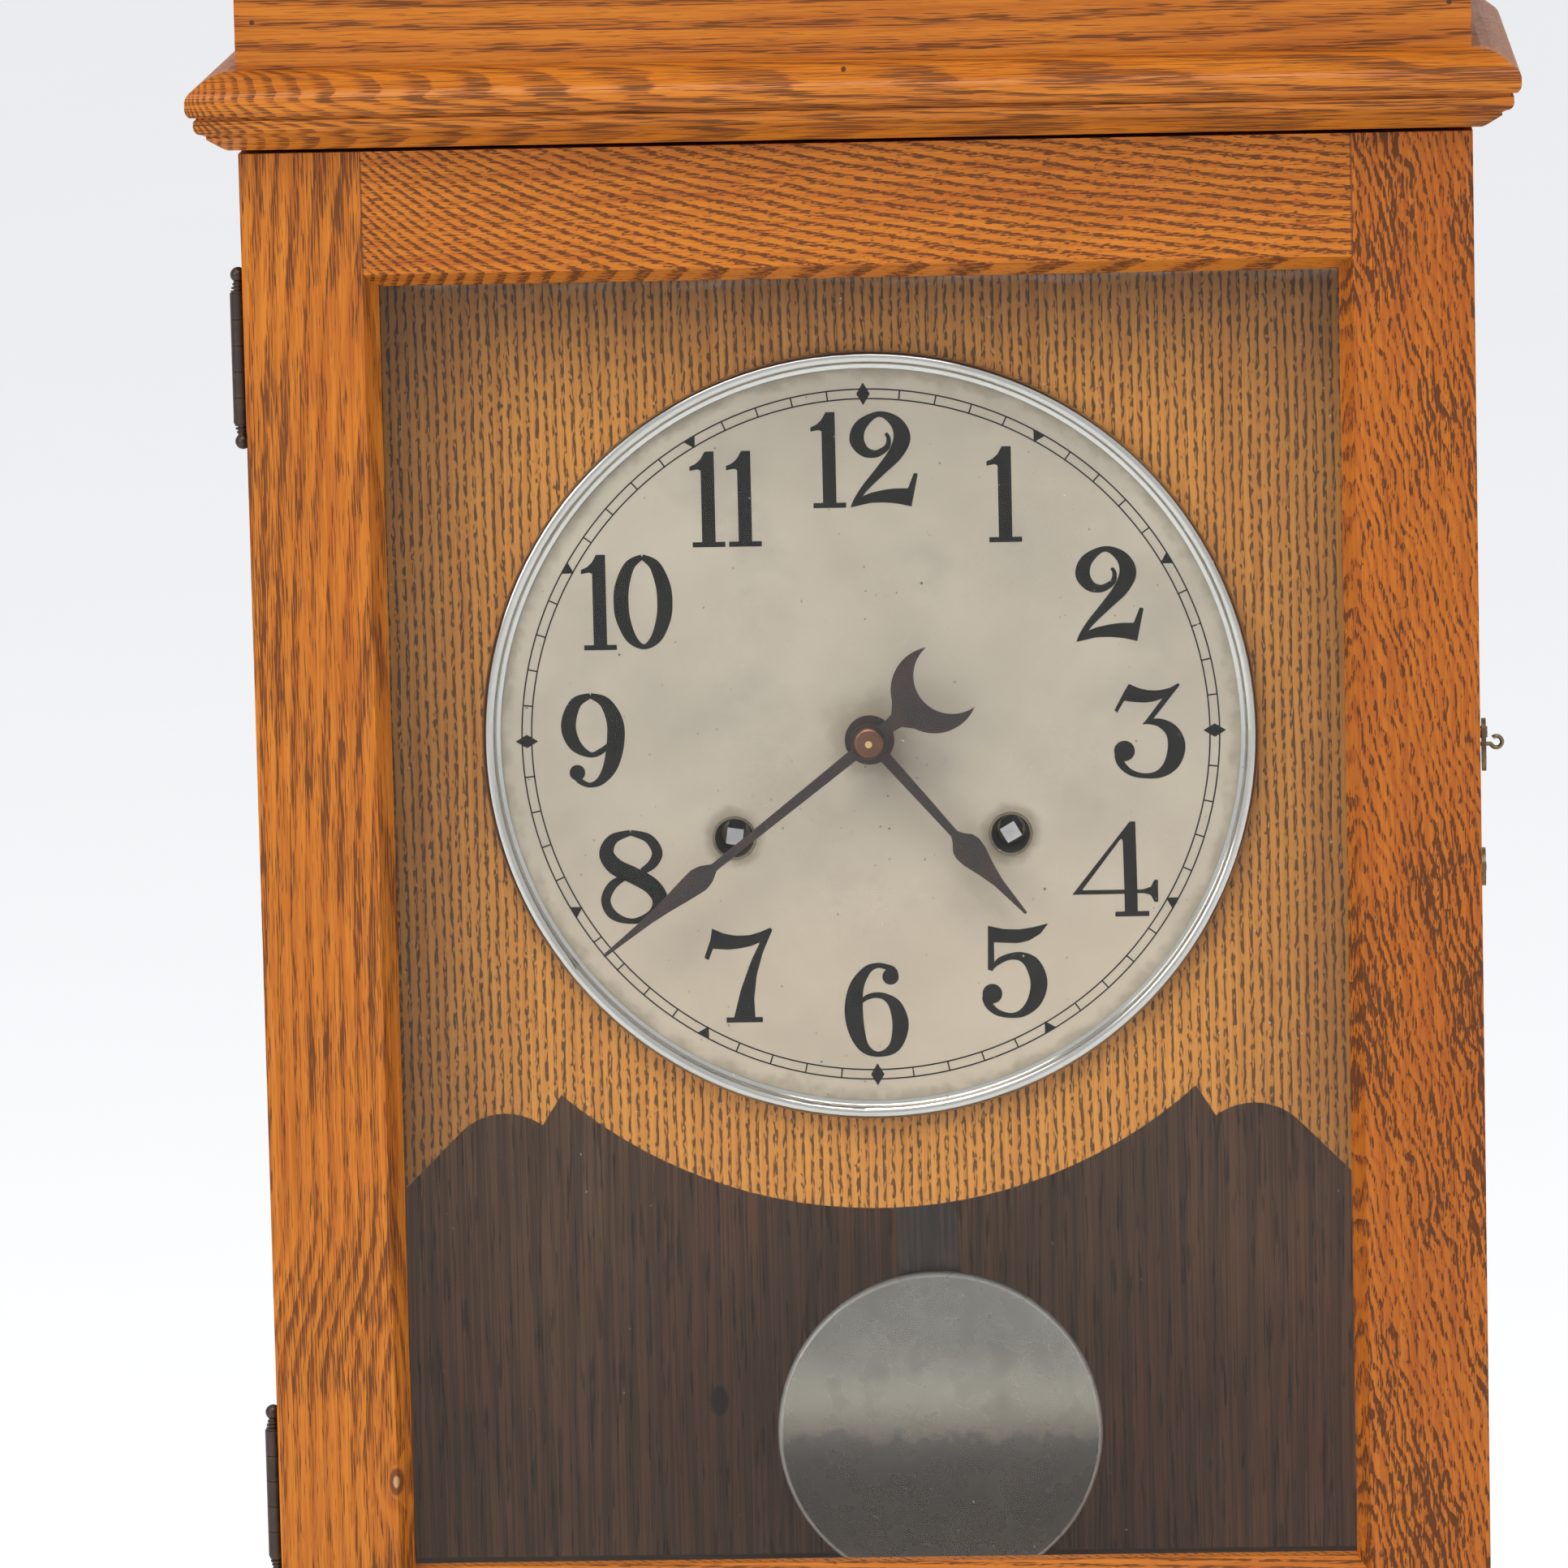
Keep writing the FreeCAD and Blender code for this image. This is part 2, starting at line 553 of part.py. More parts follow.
def make_hands():
    leaf = [(0, 2.4), (60, 1.7), (79, 1.6), (83, 4.0), (87, 4.9), (93, 4.2), (104, 2.6), (112, 1.7)]
    minute = hand(leaf + [(MINUTE_LEN, 0.6)], MINUTE_Y, MINUTE_ANGLE)
    neck = hand([(0, 3.0), (10, 2.6), (14, 3.2), (18, 7.5)], MINUTE_Y, MINUTE_ANGLE + 180)
    moon_x, moon_z = clockwise(33.2, MINUTE_ANGLE + 180)
    bite_x, bite_z = clockwise(42.2, MINUTE_ANGLE + 180)
    moon = along_y(17.2, moon_x, DIAL_Z + moon_z, MINUTE_Y, MINUTE_Y + HAND_T)
    bite = along_y(15.2, bite_x, DIAL_Z + bite_z, MINUTE_Y - 1, MINUTE_Y + HAND_T + 1)
    hub = along_y(7.6, 0, DIAL_Z, MINUTE_Y, MINUTE_Y + HAND_T)
    minute = fuse(hub, minute, neck, moon.cut(bite))
    keep("minute_hand", minute.cut(along_y(2.6, 0, DIAL_Z, MINUTE_Y - 1, MINUTE_Y + 2)))

    drop = [(0, 2.5), (50, 1.6), (52.5, 3.0), (55, 5.2), (58, 6.0), (62, 5.6), (69, 3.6), (76, 2.0)]
    hour = hand(drop + [(HOUR_LEN, 0.5)], HOUR_Y, HOUR_ANGLE)
    hub = along_y(9.8, 0, DIAL_Z, HOUR_Y, HOUR_Y + HAND_T)
    keep("hour_hand", fuse(hub, hour).cut(along_y(5.0, 0, DIAL_Z, HOUR_Y - 1, HOUR_Y + 2)))

    nut_y = MINUTE_Y - 3.6
    section = [(1.4, MINUTE_Y), (6.2, MINUTE_Y), (6.2, nut_y + 1.2), ((5.4, nut_y + 0.2), (4.2, nut_y))]
    section += [(1.4, nut_y)]
    keep("hand_nut", turned(section, 0, DIAL_Z))


# ================================================================ movement
CENTRE_AT = (0.0, 0.0)
CANNON_Y = (-71.5, -67.0)
HOUR_WHEEL_Y = (-77.0, -75.2)
MINUTE_WHEEL_Y = (-71.2, -69.4)
GREAT_Y = (-60.0, -54.0)
GREAT_T = 2.4
CENTRE_WHEEL_Y = (-46.0, -44.4)
THIRD_WHEEL_Y = (-34.0, -32.6)
ESCAPE_WHEEL_Y = (-26.0, -24.8)
PLATE_BACK = BACK_PLATE_Y + PLATE_T


def plate(y0):
    """A movement plate with clipped corners and two sighting windows."""
    w, low, high, clip = PLATE_HALF_W, PLATE_LOW, PLATE_HIGH, 14.0
    path = [(-w + clip, low), (w - clip, low), (w, low + clip), (w, high - clip)]
    path += [(w - clip, high), (-w + clip, high), (-w, high - clip), (-w, low + clip)]
    shape = slab_xz([on_dial(x, z) for x, z in path], y0, y0 + PLATE_T)
    for x in (-62.0, 62.0):
        shape = shape.cut(along_y(26.0, x, DIAL_Z + 70.0, y0 - 1, y0 + PLATE_T + 1))
    holes = [(CENTRE_AT, CENTRE_R), (THIRD_AT, ARBOR_R), (ESCAPE_AT, ARBOR_R), (VERGE_AT, ARBOR_R)]
    holes += [(at, WINDING_R) for at in WINDING]
    for (x, z), radius in holes:
        shape = shape.cut(along_y(radius + RUN, x, DIAL_Z + z, y0 - 1, y0 + PLATE_T + 1))
    return shape


def make_plates():
    stud = along_y(2.0, MINUTE_AT[0], DIAL_Z + MINUTE_AT[1], -79.0, FRONT_PLATE_Y)
    keep("movement_front_plate", fuse(plate(FRONT_PLATE_Y), stud))

    foot = box(-9, 9, PLATE_BACK, PLATE_BACK + 3.0, PIVOT_Z + 5, PIVOT_Z + 19)
    arm = box(-5, 5, PLATE_BACK, PENDULUM_Y + 6, PIVOT_Z + 6, PIVOT_Z + 16)
    stub = box(-0.2, 0.2, PENDULUM_Y - 3, PENDULUM_Y + 3, PIVOT_Z + 0.6, PIVOT_Z + 6)
    keep("movement_back_plate", plate(BACK_PLATE_Y), fuse(foot, arm, stub))

    posts = []
    for x, z in PILLARS:
        posts.append(along_y(4.0, x, DIAL_Z + z, FRONT_PLATE_Y + PLATE_T, BACK_PLATE_Y))
        posts.append(along_y(5.0, x, DIAL_Z + z, PANEL_BACK, FRONT_PLATE_Y))
    keep("movement_pillars", *posts)


def make_train():
    """The going train and the motion work, all in mesh as they stand."""
    pinion_phase = 7.0
    cannon_phase = 11.0
    centre_phase = 0.0
    arbor = along_y(CENTRE_R, 0, DIAL_Z, -74.0, PLATE_BACK + 2.0)
    front = along_y(2.6, 0, DIAL_Z, MINUTE_Y, -74.0)
    tip = along_y(1.4, 0, DIAL_Z, MINUTE_Y - 5.2, MINUTE_Y)
    cannon = gear(CANNON_LEAVES, CANNON_M, PINION_LEAF, CENTRE_AT, *CANNON_Y, cannon_phase)
    pinion = gear(CENTRE_LEAVES, GREAT_M, PINION_LEAF, CENTRE_AT, -61.0, -50.5, pinion_phase)
    wheel = gear(CENTRE_TEETH, CENTRE_M, WHEEL_TOOTH, CENTRE_AT, *CENTRE_WHEEL_Y, centre_phase)
    wheel = spoked(wheel, CENTRE_AT, *CENTRE_WHEEL_Y, 9.0, 29.0, 5, 5.0)
    keep("centre_arbor", fuse(arbor, front, tip, cannon, pinion, wheel))

    y0, y1 = MINUTE_WHEEL_Y
    phase = meshing(cannon_phase, CANNON_LEAVES, MINUTE_TEETH, CENTRE_AT, MINUTE_AT)
    wheel = gear(MINUTE_TEETH, CANNON_M, WHEEL_TOOTH, MINUTE_AT, y0, y1, phase)
    leaves = gear(MINUTE_LEAVES, HOUR_M, PINION_LEAF, MINUTE_AT, -78.0, y0, 0.0)
    bore = along_y(2.0 + RUN, MINUTE_AT[0], DIAL_Z + MINUTE_AT[1], -79.0, y1 + 1)
    keep("minute_wheel", fuse(wheel, leaves).cut(bore))

    y0, y1 = HOUR_WHEEL_Y
    phase = meshing(0.0, MINUTE_LEAVES, HOUR_TEETH, MINUTE_AT, CENTRE_AT)
    wheel = gear(HOUR_TEETH, HOUR_M, WHEEL_TOOTH, CENTRE_AT, y0, y1, phase)
    pipe = along_y(5.0, 0, DIAL_Z, HOUR_Y, y1)
    bore = along_y(2.6 + RUN, 0, DIAL_Z, HOUR_Y - 1, y1 + 1)
    keep("hour_wheel", fuse(wheel, pipe).cut(bore))

    phase = meshing(centre_phase, CENTRE_TEETH, THIRD_LEAVES, CENTRE_AT, THIRD_AT)
    arbor = along_y(ARBOR_R, THIRD_AT[0], DIAL_Z + THIRD_AT[1], FRONT_PLATE_Y - 1, PLATE_BACK + 1)
    leaves = gear(THIRD_LEAVES, CENTRE_M, PINION_LEAF, THIRD_AT, -48.0, -42.0, phase)
    wheel = gear(THIRD_TEETH, THIRD_M, WHEEL_TOOTH, THIRD_AT, *THIRD_WHEEL_Y, 0.0)
    wheel = spoked(wheel, THIRD_AT, *THIRD_WHEEL_Y, 7.0, 22.5, 5, 4.0)
    keep("third_wheel", fuse(arbor, leaves, wheel))

    phase = meshing(0.0, THIRD_TEETH, ESCAPE_LEAVES, THIRD_AT, ESCAPE_AT)
    x, z = on_dial(*ESCAPE_AT)
    arbor = along_y(ARBOR_R, x, z, FRONT_PLATE_Y - 1, PLATE_BACK + 1)
    leaves = gear(ESCAPE_LEAVES, THIRD_M, PINION_LEAF, ESCAPE_AT, -37.0, -30.0, phase)
    points = []
    for k in range(ESCAPE_TEETH):
        at = 360.0 * k / ESCAPE_TEETH
        for radius, turn in ((ESCAPE_R - 3.4, 0.0), (ESCAPE_R, 6.0), (ESCAPE_R, 6.8)):
            dx, dz = clockwise(radius, at + turn)
            points.append((x + dx, z + dz))
    wheel = slab_xz(points, *ESCAPE_WHEEL_Y)
    wheel = spoked(wheel, ESCAPE_AT, *ESCAPE_WHEEL_Y, 6.0, 17.5, 5, 3.0)
    hub = along_y(4.0, x, z, ESCAPE_WHEEL_Y[0] - 2, ESCAPE_WHEEL_Y[0])
    keep("escape_wheel", fuse(arbor, leaves, wheel, hub))
    return pinion_phase


def ratchet(at, y0, y1, teeth, radius):
    points = []
    for k in range(teeth):
        turn = 360.0 * k / teeth
        for r, extra in ((radius - 2.2, 0.0), (radius, 310.0 / teeth)):
            x, z = clockwise(r, turn + extra)
            points.append(on_dial(at[0] + x, at[1] + z))
    return slab_xz(points, y0, y1)


def spring_coil(at, y0, y1):
    """A wound mainspring: a flat band in a spiral."""
    turns, inner, band, steps = 9, 8.0, 0.7, 12

    def spiral(shift):
        points = []
        for k in range(turns * steps + 1):
            share = k / (turns * steps)
            radius = inner + (SPRING_OUT_R - inner) * share + shift
            x, z = clockwise(radius, 360.0 * k / steps)
            points.append(V(at[0] + x, y0, DIAL_Z + at[1] + z))
        curve = Part.BSplineCurve()
        curve.interpolate(points)
        return curve.toShape(), points[0], points[-1]

    near, near_start, near_end = spiral(0.0)
    far, far_start, far_end = spiral(band)
    start = Part.LineSegment(near_start, far_start).toShape()
    end = Part.LineSegment(near_end, far_end).toShape()
    wire = Part.Wire(Part.sortEdges([near, end, far, start])[0])
    return Part.Face(wire).extrude(V(0, y1 - y0, 0))


def make_barrels(pinion_phase):
    """Two great wheels on their winding arbors, one spring each."""
    springs = []
    for side, at, y0 in zip(("left", "right"), WINDING, GREAT_Y):
        y1 = y0 + GREAT_T
        x, z = on_dial(*at)
        phase = meshing(pinion_phase, CENTRE_LEAVES, GREAT_TEETH, CENTRE_AT, at)
        wheel = gear(GREAT_TEETH, GREAT_M, WHEEL_TOOTH, at, y0, y1, phase)
        wheel = spoked(wheel, at, y0, y1, 21.0, 51.0, 5, 8.0)
        click_x, click_z = clockwise(17.2, 40.0)
        click = along_y(2.2, x + click_x, z + click_z, y1, y1 + 1.8)
        wheel = fuse(wheel, click).cut(along_y(WINDING_R + RUN, x, z, y0 - 1, y1 + 1))
        keep("great_wheel_" + side, wheel)

        arbor = along_y(WINDING_R, x, z, FRONT_PLATE_Y - 1, PLATE_BACK + 1)
        half = SQUARE / 2
        square = box(x - half, x + half, -90.5, FRONT_PLATE_Y - 1, z - half, z + half)
        square.rotate(V(x, 0, z), V(0, 1, 0), 8.0 if side == "left" else -30.0)
        steps = ratchet(at, y1 + 0.2, y1 + 2.0, 18, 14.0)
        keep("winding_arbor_" + side, fuse(arbor, square, steps))
        springs.append(spring_coil(at, y1 + 2.6, y1 + 25.0))
    keep("mainsprings", *springs)


def swung(shape):
    """Turns a hanging shape to where the pendulum stands."""
    turned_shape = shape.copy()
    turned_shape.rotate(V(0, 0, PIVOT_Z), V(0, 1, 0), -SWING)
    return turned_shape


def make_pendulum():
    y = PENDULUM_Y
    arbor = along_y(ARBOR_R, 0, PIVOT_Z, FRONT_PLATE_Y - 1, -2.0)
    arms = [(-3, 3.5), (3, 3.5), (18.6, -10.6), (21.0, -14.6), (18.3, -14.0), (2.5, -2.0)]
    arms += [(-2.5, -2.0), (-18.3, -14.0), (-21.0, -14.6), (-18.6, -10.6)]
    anchor = slab_xz([(x, PIVOT_Z + z) for x, z in arms], -27.0, -23.8)
    crutch = box(-2, 2, -4.5, -2.5, PIVOT_Z - 74, PIVOT_Z + 3)
    prong_x = ROD_W / 2 + 0.3
    bar = box(-prong_x - 2.5, prong_x + 2.5, -4.5, -2.5, PIVOT_Z - 74, PIVOT_Z - 68)
    prong = box(prong_x, prong_x + 2.5, -4.5, y + 6, PIVOT_Z - 74, PIVOT_Z - 68)
    keep("verge", swung(fuse(arbor, anchor, crutch, bar, prong, mirrored(prong))))

    strip = box(-0.2, 0.2, y - 3, y + 3, PIVOT_Z - 20, PIVOT_Z - 0.6)
    clip = box(-4, 4, y - 3.5, y + 3.5, PIVOT_Z - 26, PIVOT_Z - 14)
    staff = box(-ROD_W / 2, ROD_W / 2, y - ROD_T / 2, y + ROD_T / 2, PIVOT_Z - 442, PIVOT_Z - 24)
    thread = along_z(2.0, 0, y, PIVOT_Z - 468, PIVOT_Z - 442)
    nut = along_z(5.6, 0, y, PIVOT_Z - 456, PIVOT_Z - 448).cut(along_z(2.0, 0, y, PIVOT_Z - 457, PIVOT_Z - 447))
    keep("pendulum_rod", swung(fuse(strip, clip, staff, thread)), swung(nut))

    bob_z = PIVOT_Z - BOB_DROP
    front, back = y - 12.0, y - 6.0
    section = [(0, front), ((BOB_R * 0.5, front + 0.3), (BOB_R - 2.0, front + 1.2))]
    section += [((BOB_R - 0.5, front + 1.8), (BOB_R, front + 3.0)), (BOB_R, back - 1.0), (BOB_R - 1.0, back)]
    section += [(20.0, back), (20.0, y - ROD_T / 2), (0, y - ROD_T / 2)]
    keep("pendulum_bob", swung(turned(section, 0, bob_z)))


# ================================================================ recorder
def make_recorder_frame():
    """The iron frame: front flange, two cheeks, bed, ties and brackets."""
    flange = box(-FLANGE_HALF_W, FLANGE_HALF_W, FLANGE_Y, FRONT, 64.0, 347.0)
    window = box(-WINDOW_HALF, WINDOW_HALF, FLANGE_Y - 1, FRONT + 1, *WINDOW_Z)
    flange = flange.cut(window)
    profile = [(-108, BED_TOP), (60, BED_TOP), (60, 120), (-60, 290), (-192, 290), (-192, 98), (-108, 98)]
    cheek = slab_yz(profile, WINDOW_HALF - CHEEK_T, WINDOW_HALF)
    cheek = cheek.cut(along_x(TYPE_SHAFT_R + RUN, TYPE_Y, TYPE_Z, 100, 130))
    cheek = cheek.cut(along_x(LEVER_R + RUN, LEVER_Y, LEVER_Z, 100, 130))
    left = mirrored(cheek)
    left = left.cut(box(-130, -100, TRIP_Y - 4, TRIP_Y + 4, TRIP_LOW - 5, TRIP_LOW + 8))
    bed = box(-WINDOW_HALF, WINDOW_HALF, -108, 60, BED_Z, BED_TOP)
    inner = WINDOW_HALF - CHEEK_T
    ties = [along_x(4.0, y, z, -inner, inner) for y, z in ((-70, 272), (40, 104))]
    shaft = along_x(ROD_R, HAMMER_Y, HAMMER_Z, -inner, inner)
    brackets = []
    for sign in (-1, 1):
        x0, x1 = sorted((sign * (SPOOL_X - 6), sign * inner))
        brackets.append(box(x0, x1, SPOOL_Y - 6, SPOOL_Y + 6, 198, 202))
        brackets.append(along_z(2.0, sign * SPOOL_X, SPOOL_Y, 202, 228))
    stud = along_x(2.5, *BELL_HAMMER_AT, WINDOW_HALF, 132.0)
    hinge_x, hinge_y = COVER_HINGE
    lugs = []
    for z0, z1 in COVER_KNUCKLES:
        for low, high in ((z0 - 9.0, z0 - 0.3), (z1 + 0.3, z1 + 9.0)):
            lug = along_z(4.2, hinge_x, hinge_y, low, high)
            web = box(hinge_x - 4.2, hinge_x + 2.0, hinge_y, FLANGE_Y, low, high)
            hole = along_z(2.0, hinge_x, hinge_y, low - 1, high + 1)
            lugs.append(fuse(lug, web).cut(hole))
    keep("recorder_frame", fuse(flange, cheek, left, bed, *ties, shaft, *brackets, stud, *lugs))
    keep("carriage_rods", *[along_x(ROD_R, y, z, -inner, inner) for y, z in RODS])


def make_cover():
    """The japanned cover over the printing works, hinged at its left."""
    z0, z1 = COVER_Z
    back = FLANGE_Y - 0.3

    def shell(half, front, low, high, radius):
        block = box(-half, half, front, back, low, high)
        soft = []
        for edge in block.Edges:
            if all(vertex.Point.y < back - 1 for vertex in edge.Vertexes):
                soft.append(edge)
        return block.makeFillet(radius, soft)

    outer = shell(COVER_HALF, COVER_FRONT, z0, z1, 14.0)
    inner = shell(COVER_HALF - COVER_T, COVER_FRONT + COVER_T, z0 + COVER_T, z1 - COVER_T, 11.5)
    inner = inner.fuse(box(-COVER_HALF + COVER_T, COVER_HALF - COVER_T, back - 5, back + 5,
                           z0 + COVER_T, z1 - COVER_T))
    cover = outer.cut(inner)
    cover = cover.cut(box(-82, 82, -184, back + 5, z1 - 8, z1 + 5))
    cover = cover.cut(box(COVER_HALF - 8, COVER_HALF + 4, LEVER_Y - 9, back + 5, LEVER_Z - 8, LEVER_Z + 8))
    hinge_x, hinge_y = COVER_HINGE
    for low, high in COVER_KNUCKLES:
        knuckle = along_z(4.2, hinge_x, hinge_y, low, high)
        web = box(hinge_x, -COVER_HALF + 1, hinge_y - 4.2, hinge_y - 1.0, low, high)
        cover = cover.fuse(knuckle).fuse(web)
        cover = cover.cut(along_z(2.0 + RUN, hinge_x, hinge_y, low - 1, high + 1))
    keep("recorder_cover", cover.removeSplitter())


TYPE_SHAFT_R = 4.0


def make_throat():
    """The nickelled card throat on its sliding carriage."""
    back = THROAT_BACK
    front = back - 2 * SHEET - THROAT_GAP
    half = THROAT_HALF
    neck_z, mouth_z, low = 316.0, 352.0, 128.0
    body = box(-half, half, front, back, low, neck_z)
    gap = box(-half + SHEET, half - SHEET, front + SHEET, back - SHEET, low + 2, neck_z)

    def ring(x, y0, y1, z):
        corners = [V(-x, y0, z), V(x, y0, z), V(x, y1, z), V(-x, y1, z)]
        return Part.makePolygon(corners + corners[:1])

    outer = Part.makeLoft([ring(half, front, back, neck_z), ring(half + 10, -184.0, -148.0, mouth_z)], True)
    inner = [ring(half - SHEET, front + SHEET, back - SHEET, neck_z)]
    inner += [ring(half + 10 - SHEET, -182.8, -149.2, mouth_z)]
    mouth = outer.cut(Part.makeLoft(inner, True))
    throat = body.cut(gap).fuse(mouth)
    throat = throat.cut(box(-34, 34, front - 1, back + 1, 200, 230))
    for y, z in RODS:
        for x in (-42.0, 42.0):
            lug = box(x - 4, x + 4, back, y + 6, z - 6, z + 6)
            throat = throat.fuse(lug).cut(along_x(ROD_R + RUN, y, z, x - 6, x + 6))
    stem = rod(2.0, (0, -183.0, 344.0), (0, -190.0, 344.0))
    grip = ball(5.0, 0, -193.0, 344.0)
    keep("card_throat", throat.fuse(stem).fuse(grip).removeSplitter())


def type_wheel(x0, x1, blocks):
    """A type wheel: a rim with one raised type block per position."""
    wheel = along_x(TYPE_R - 2.0, TYPE_Y, TYPE_Z, x0, x1)
    width = 0.55 * 2 * math.pi * TYPE_R / blocks
    for k in range(blocks):
        block = box(x0 + 2, x1 - 2, TYPE_Y - width / 2, TYPE_Y + width / 2,
                    TYPE_Z + TYPE_R - 3.0, TYPE_Z + TYPE_R - 0.2)
        block.rotate(V(0, TYPE_Y, TYPE_Z), V(1, 0, 0), 360.0 * k / blocks)
        wheel = wheel.fuse(block)
    return wheel


def make_type_wheels():
    shaft = along_x(TYPE_SHAFT_R, TYPE_Y, TYPE_Z, -WINDOW_HALF - 3, WINDOW_HALF + 3)
    points = []
    teeth, ratchet_r = 60, 22.0
    for k in range(teeth):
        for radius, turn in ((ratchet_r - 1.8, 0.0), (ratchet_r, 5.2)):
            y, z = clockwise(radius, 360.0 * k / teeth + turn)
            points.append((TYPE_Y + y, TYPE_Z + z))
    steps = slab_yz(points, -42.0, -38.5)
    hub = along_x(9.0, TYPE_Y, TYPE_Z, -44.0, -38.5)
    keep("type_wheel_minute", fuse(type_wheel(1.0, 14.0, 60), shaft, steps, hub))
    hour = type_wheel(-13.0, 0.0, 24)
    keep("type_wheel_hour", hour.cut(along_x(TYPE_SHAFT_R + RUN, TYPE_Y, TYPE_Z, -15, 2)).removeSplitter())


def make_ribbon():
    for side, sign in (("left", -1), ("right", 1)):
        x = sign * SPOOL_X
        core = along_z(SPOOL_R - 1.8, x, SPOOL_Y, 206, 224)
        ends = [along_z(SPOOL_R, x, SPOOL_Y, z, z + 1.6) for z in (204.4, 224.0)]
        spool = fuse(core, *ends).cut(along_z(2.0 + RUN, x, SPOOL_Y, 200, 230))
        keep("ribbon_spool_" + side, spool)
    keep("ribbon", box(-SPOOL_X, SPOOL_X, RIBBON_Y, RIBBON_Y + 0.3, 208, 222))


def make_strikers():
    """The printing hammer, its hand lever and the bell."""
    arm = box(-4, 4, HAMMER_Y - 3, HAMMER_Y + 3, HAMMER_Z, TYPE_Z + 8)
    hub = along_x(6.5, HAMMER_Y, HAMMER_Z, -10, 10)
    head = along_y(10.0, 0, TYPE_Z, HAMMER_Y + 2, -171.5)
    bore = along_x(ROD_R + RUN, HAMMER_Y, HAMMER_Z, -12, 12)
    keep("hammer", fuse(arm, hub, head).cut(bore))

    shaft = along_x(LEVER_R, LEVER_Y, LEVER_Z, -WINDOW_HALF + 0.5, 162.0)
    x, y, z = KNOB_AT
    hub = along_x(10.0, LEVER_Y, LEVER_Z, 152.0, 160.0)
    away = math.degrees(math.atan2(z - LEVER_Z, LEVER_Y - y))
    reach = math.hypot(z - LEVER_Z, LEVER_Y - y) - KNOB_R + 2
    bar = box(152.5, 159.5, LEVER_Y - reach, LEVER_Y, LEVER_Z - 5.5, LEVER_Z + 5.5)
    bar.rotate(V(0, LEVER_Y, LEVER_Z), V(1, 0, 0), -away)
    nose = box(14, 22, LEVER_Y - 3.5, LEVER_Y + 3.5, LEVER_Z, LEVER_Z + 12)
    keep("punch_lever", fuse(shaft, hub, bar, nose))
    end = rod(KNOB_R - 1.0, KNOB_AT, (x + 1, y, z))
    socket = box(x - 3.5, x + 3.5, LEVER_Y - reach, LEVER_Y, LEVER_Z - 5.5, LEVER_Z + 5.5)
    socket.rotate(V(0, LEVER_Y, LEVER_Z), V(1, 0, 0), -away)
    keep("lever_knob", ball(KNOB_R, *KNOB_AT).fuse(end).cut(socket).removeSplitter())

    coils, pitch, wire_r, coil_r = 8, 2.4, 0.8, 7.5
    helix = Part.makeHelix(pitch, coils * pitch, coil_r)
    start = helix.Vertexes[0].Point
    ring = Part.Wire(Part.makeCircle(wire_r, start, V(0, 1, 0)))
    coil = Part.Wire(helix).makePipeShell([ring], True, True)
    coil.rotate(V(0, 0, 0), V(0, 1, 0), 90)
    coil.translate(V(-112.0, LEVER_Y, LEVER_Z))
    keep("lever_return_spring", coil)

    x, y = BELL_AT
    hole_r = 2.0
    post = along_z(4.0, x, y, BED_Z, 80.0)
    foot = along_z(12.0, x, y, BED_Z, BED_Z + 4.0)
    thread = along_z(hole_r, x, y, 80.0, 87.0)
    nut = along_z(4.5, x, y, 82.0, 86.0)
    section = [(hole_r, 80.0), (hole_r, 82.0), ((28.0, 77.0), (BELL_R, 58.0)), (BELL_R - 2, 58.0)]
    section += [((26.5, 75.3), (hole_r, 80.0))]
    gong = face(section, lambda p: V(x + p[0], y, p[1])).revolve(V(x, y, 0), V(0, 0, 1), 360)
    keep("bell", gong, fuse(post, foot, thread, nut))

    y, z = BELL_HAMMER_AT
    hub = along_x(5.0, y, z, 124.0, 130.0).cut(along_x(2.5 + RUN, y, z, 120, 135))
    drop = rod(1.6, (127.0, y + 0.9, z - 4.5), (127.0, -42.0, 72.0))
    reach = rod(1.6, (127.0, -42.0, 72.0), (160.0, -34.0, 72.0))
    striker = fuse(hub, drop, ball(1.6, 127.0, -42.0, 72.0), reach, ball(5.0, 160.0, -34.0, 72.0))
    keep("bell_hammer", striker)


def make_trip_rod():
    """The bent rod that carries the movement's minute trip to the type."""
    corners = [(-6.0, TRIP_Y, TRIP_TOP), (TRIP_X, TRIP_Y, TRIP_TOP), (TRIP_X, TRIP_Y, TRIP_LOW)]
    corners += [(-40.0, TRIP_Y, TRIP_LOW), (-40.0, -102.5, TRIP_LOW)]
    runs = [rod(TRIP_R, a, b) for a, b in zip(corners, corners[1:])]
    joints = [ball(TRIP_R, *corner) for corner in corners[1:-1]]
    keep("trip_rod", fuse(*runs, *joints))


# ================================================================ build
make_case()
make_dial_panel()
make_door()
make_hinges()
make_side_brasses()
make_dial()
make_hands()
make_plates()
make_barrels(make_train())
make_pendulum()
make_recorder_frame()
make_cover()
make_throat()
make_type_wheels()
make_ribbon()
make_strikers()
make_trip_rod()

for name, shape in MADE.items():
    if not shape.isValid():
        print("not valid:", name)
    shape.exportStep("parts/" + name + ".step")
print(len(MADE), "nodes")
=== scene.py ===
import bpy
import math
from mathutils import Matrix, Vector


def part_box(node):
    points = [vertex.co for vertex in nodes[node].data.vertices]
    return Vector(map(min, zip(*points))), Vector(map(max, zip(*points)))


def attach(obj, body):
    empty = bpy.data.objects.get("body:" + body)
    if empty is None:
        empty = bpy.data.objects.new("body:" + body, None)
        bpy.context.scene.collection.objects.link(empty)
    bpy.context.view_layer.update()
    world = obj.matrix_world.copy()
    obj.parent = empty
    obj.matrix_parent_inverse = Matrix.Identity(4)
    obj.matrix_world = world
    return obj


# Looks for the cased time clock.  Metres, in the row frame: X right, Y back,
# Z up, origin on the floor under the middle of the case.

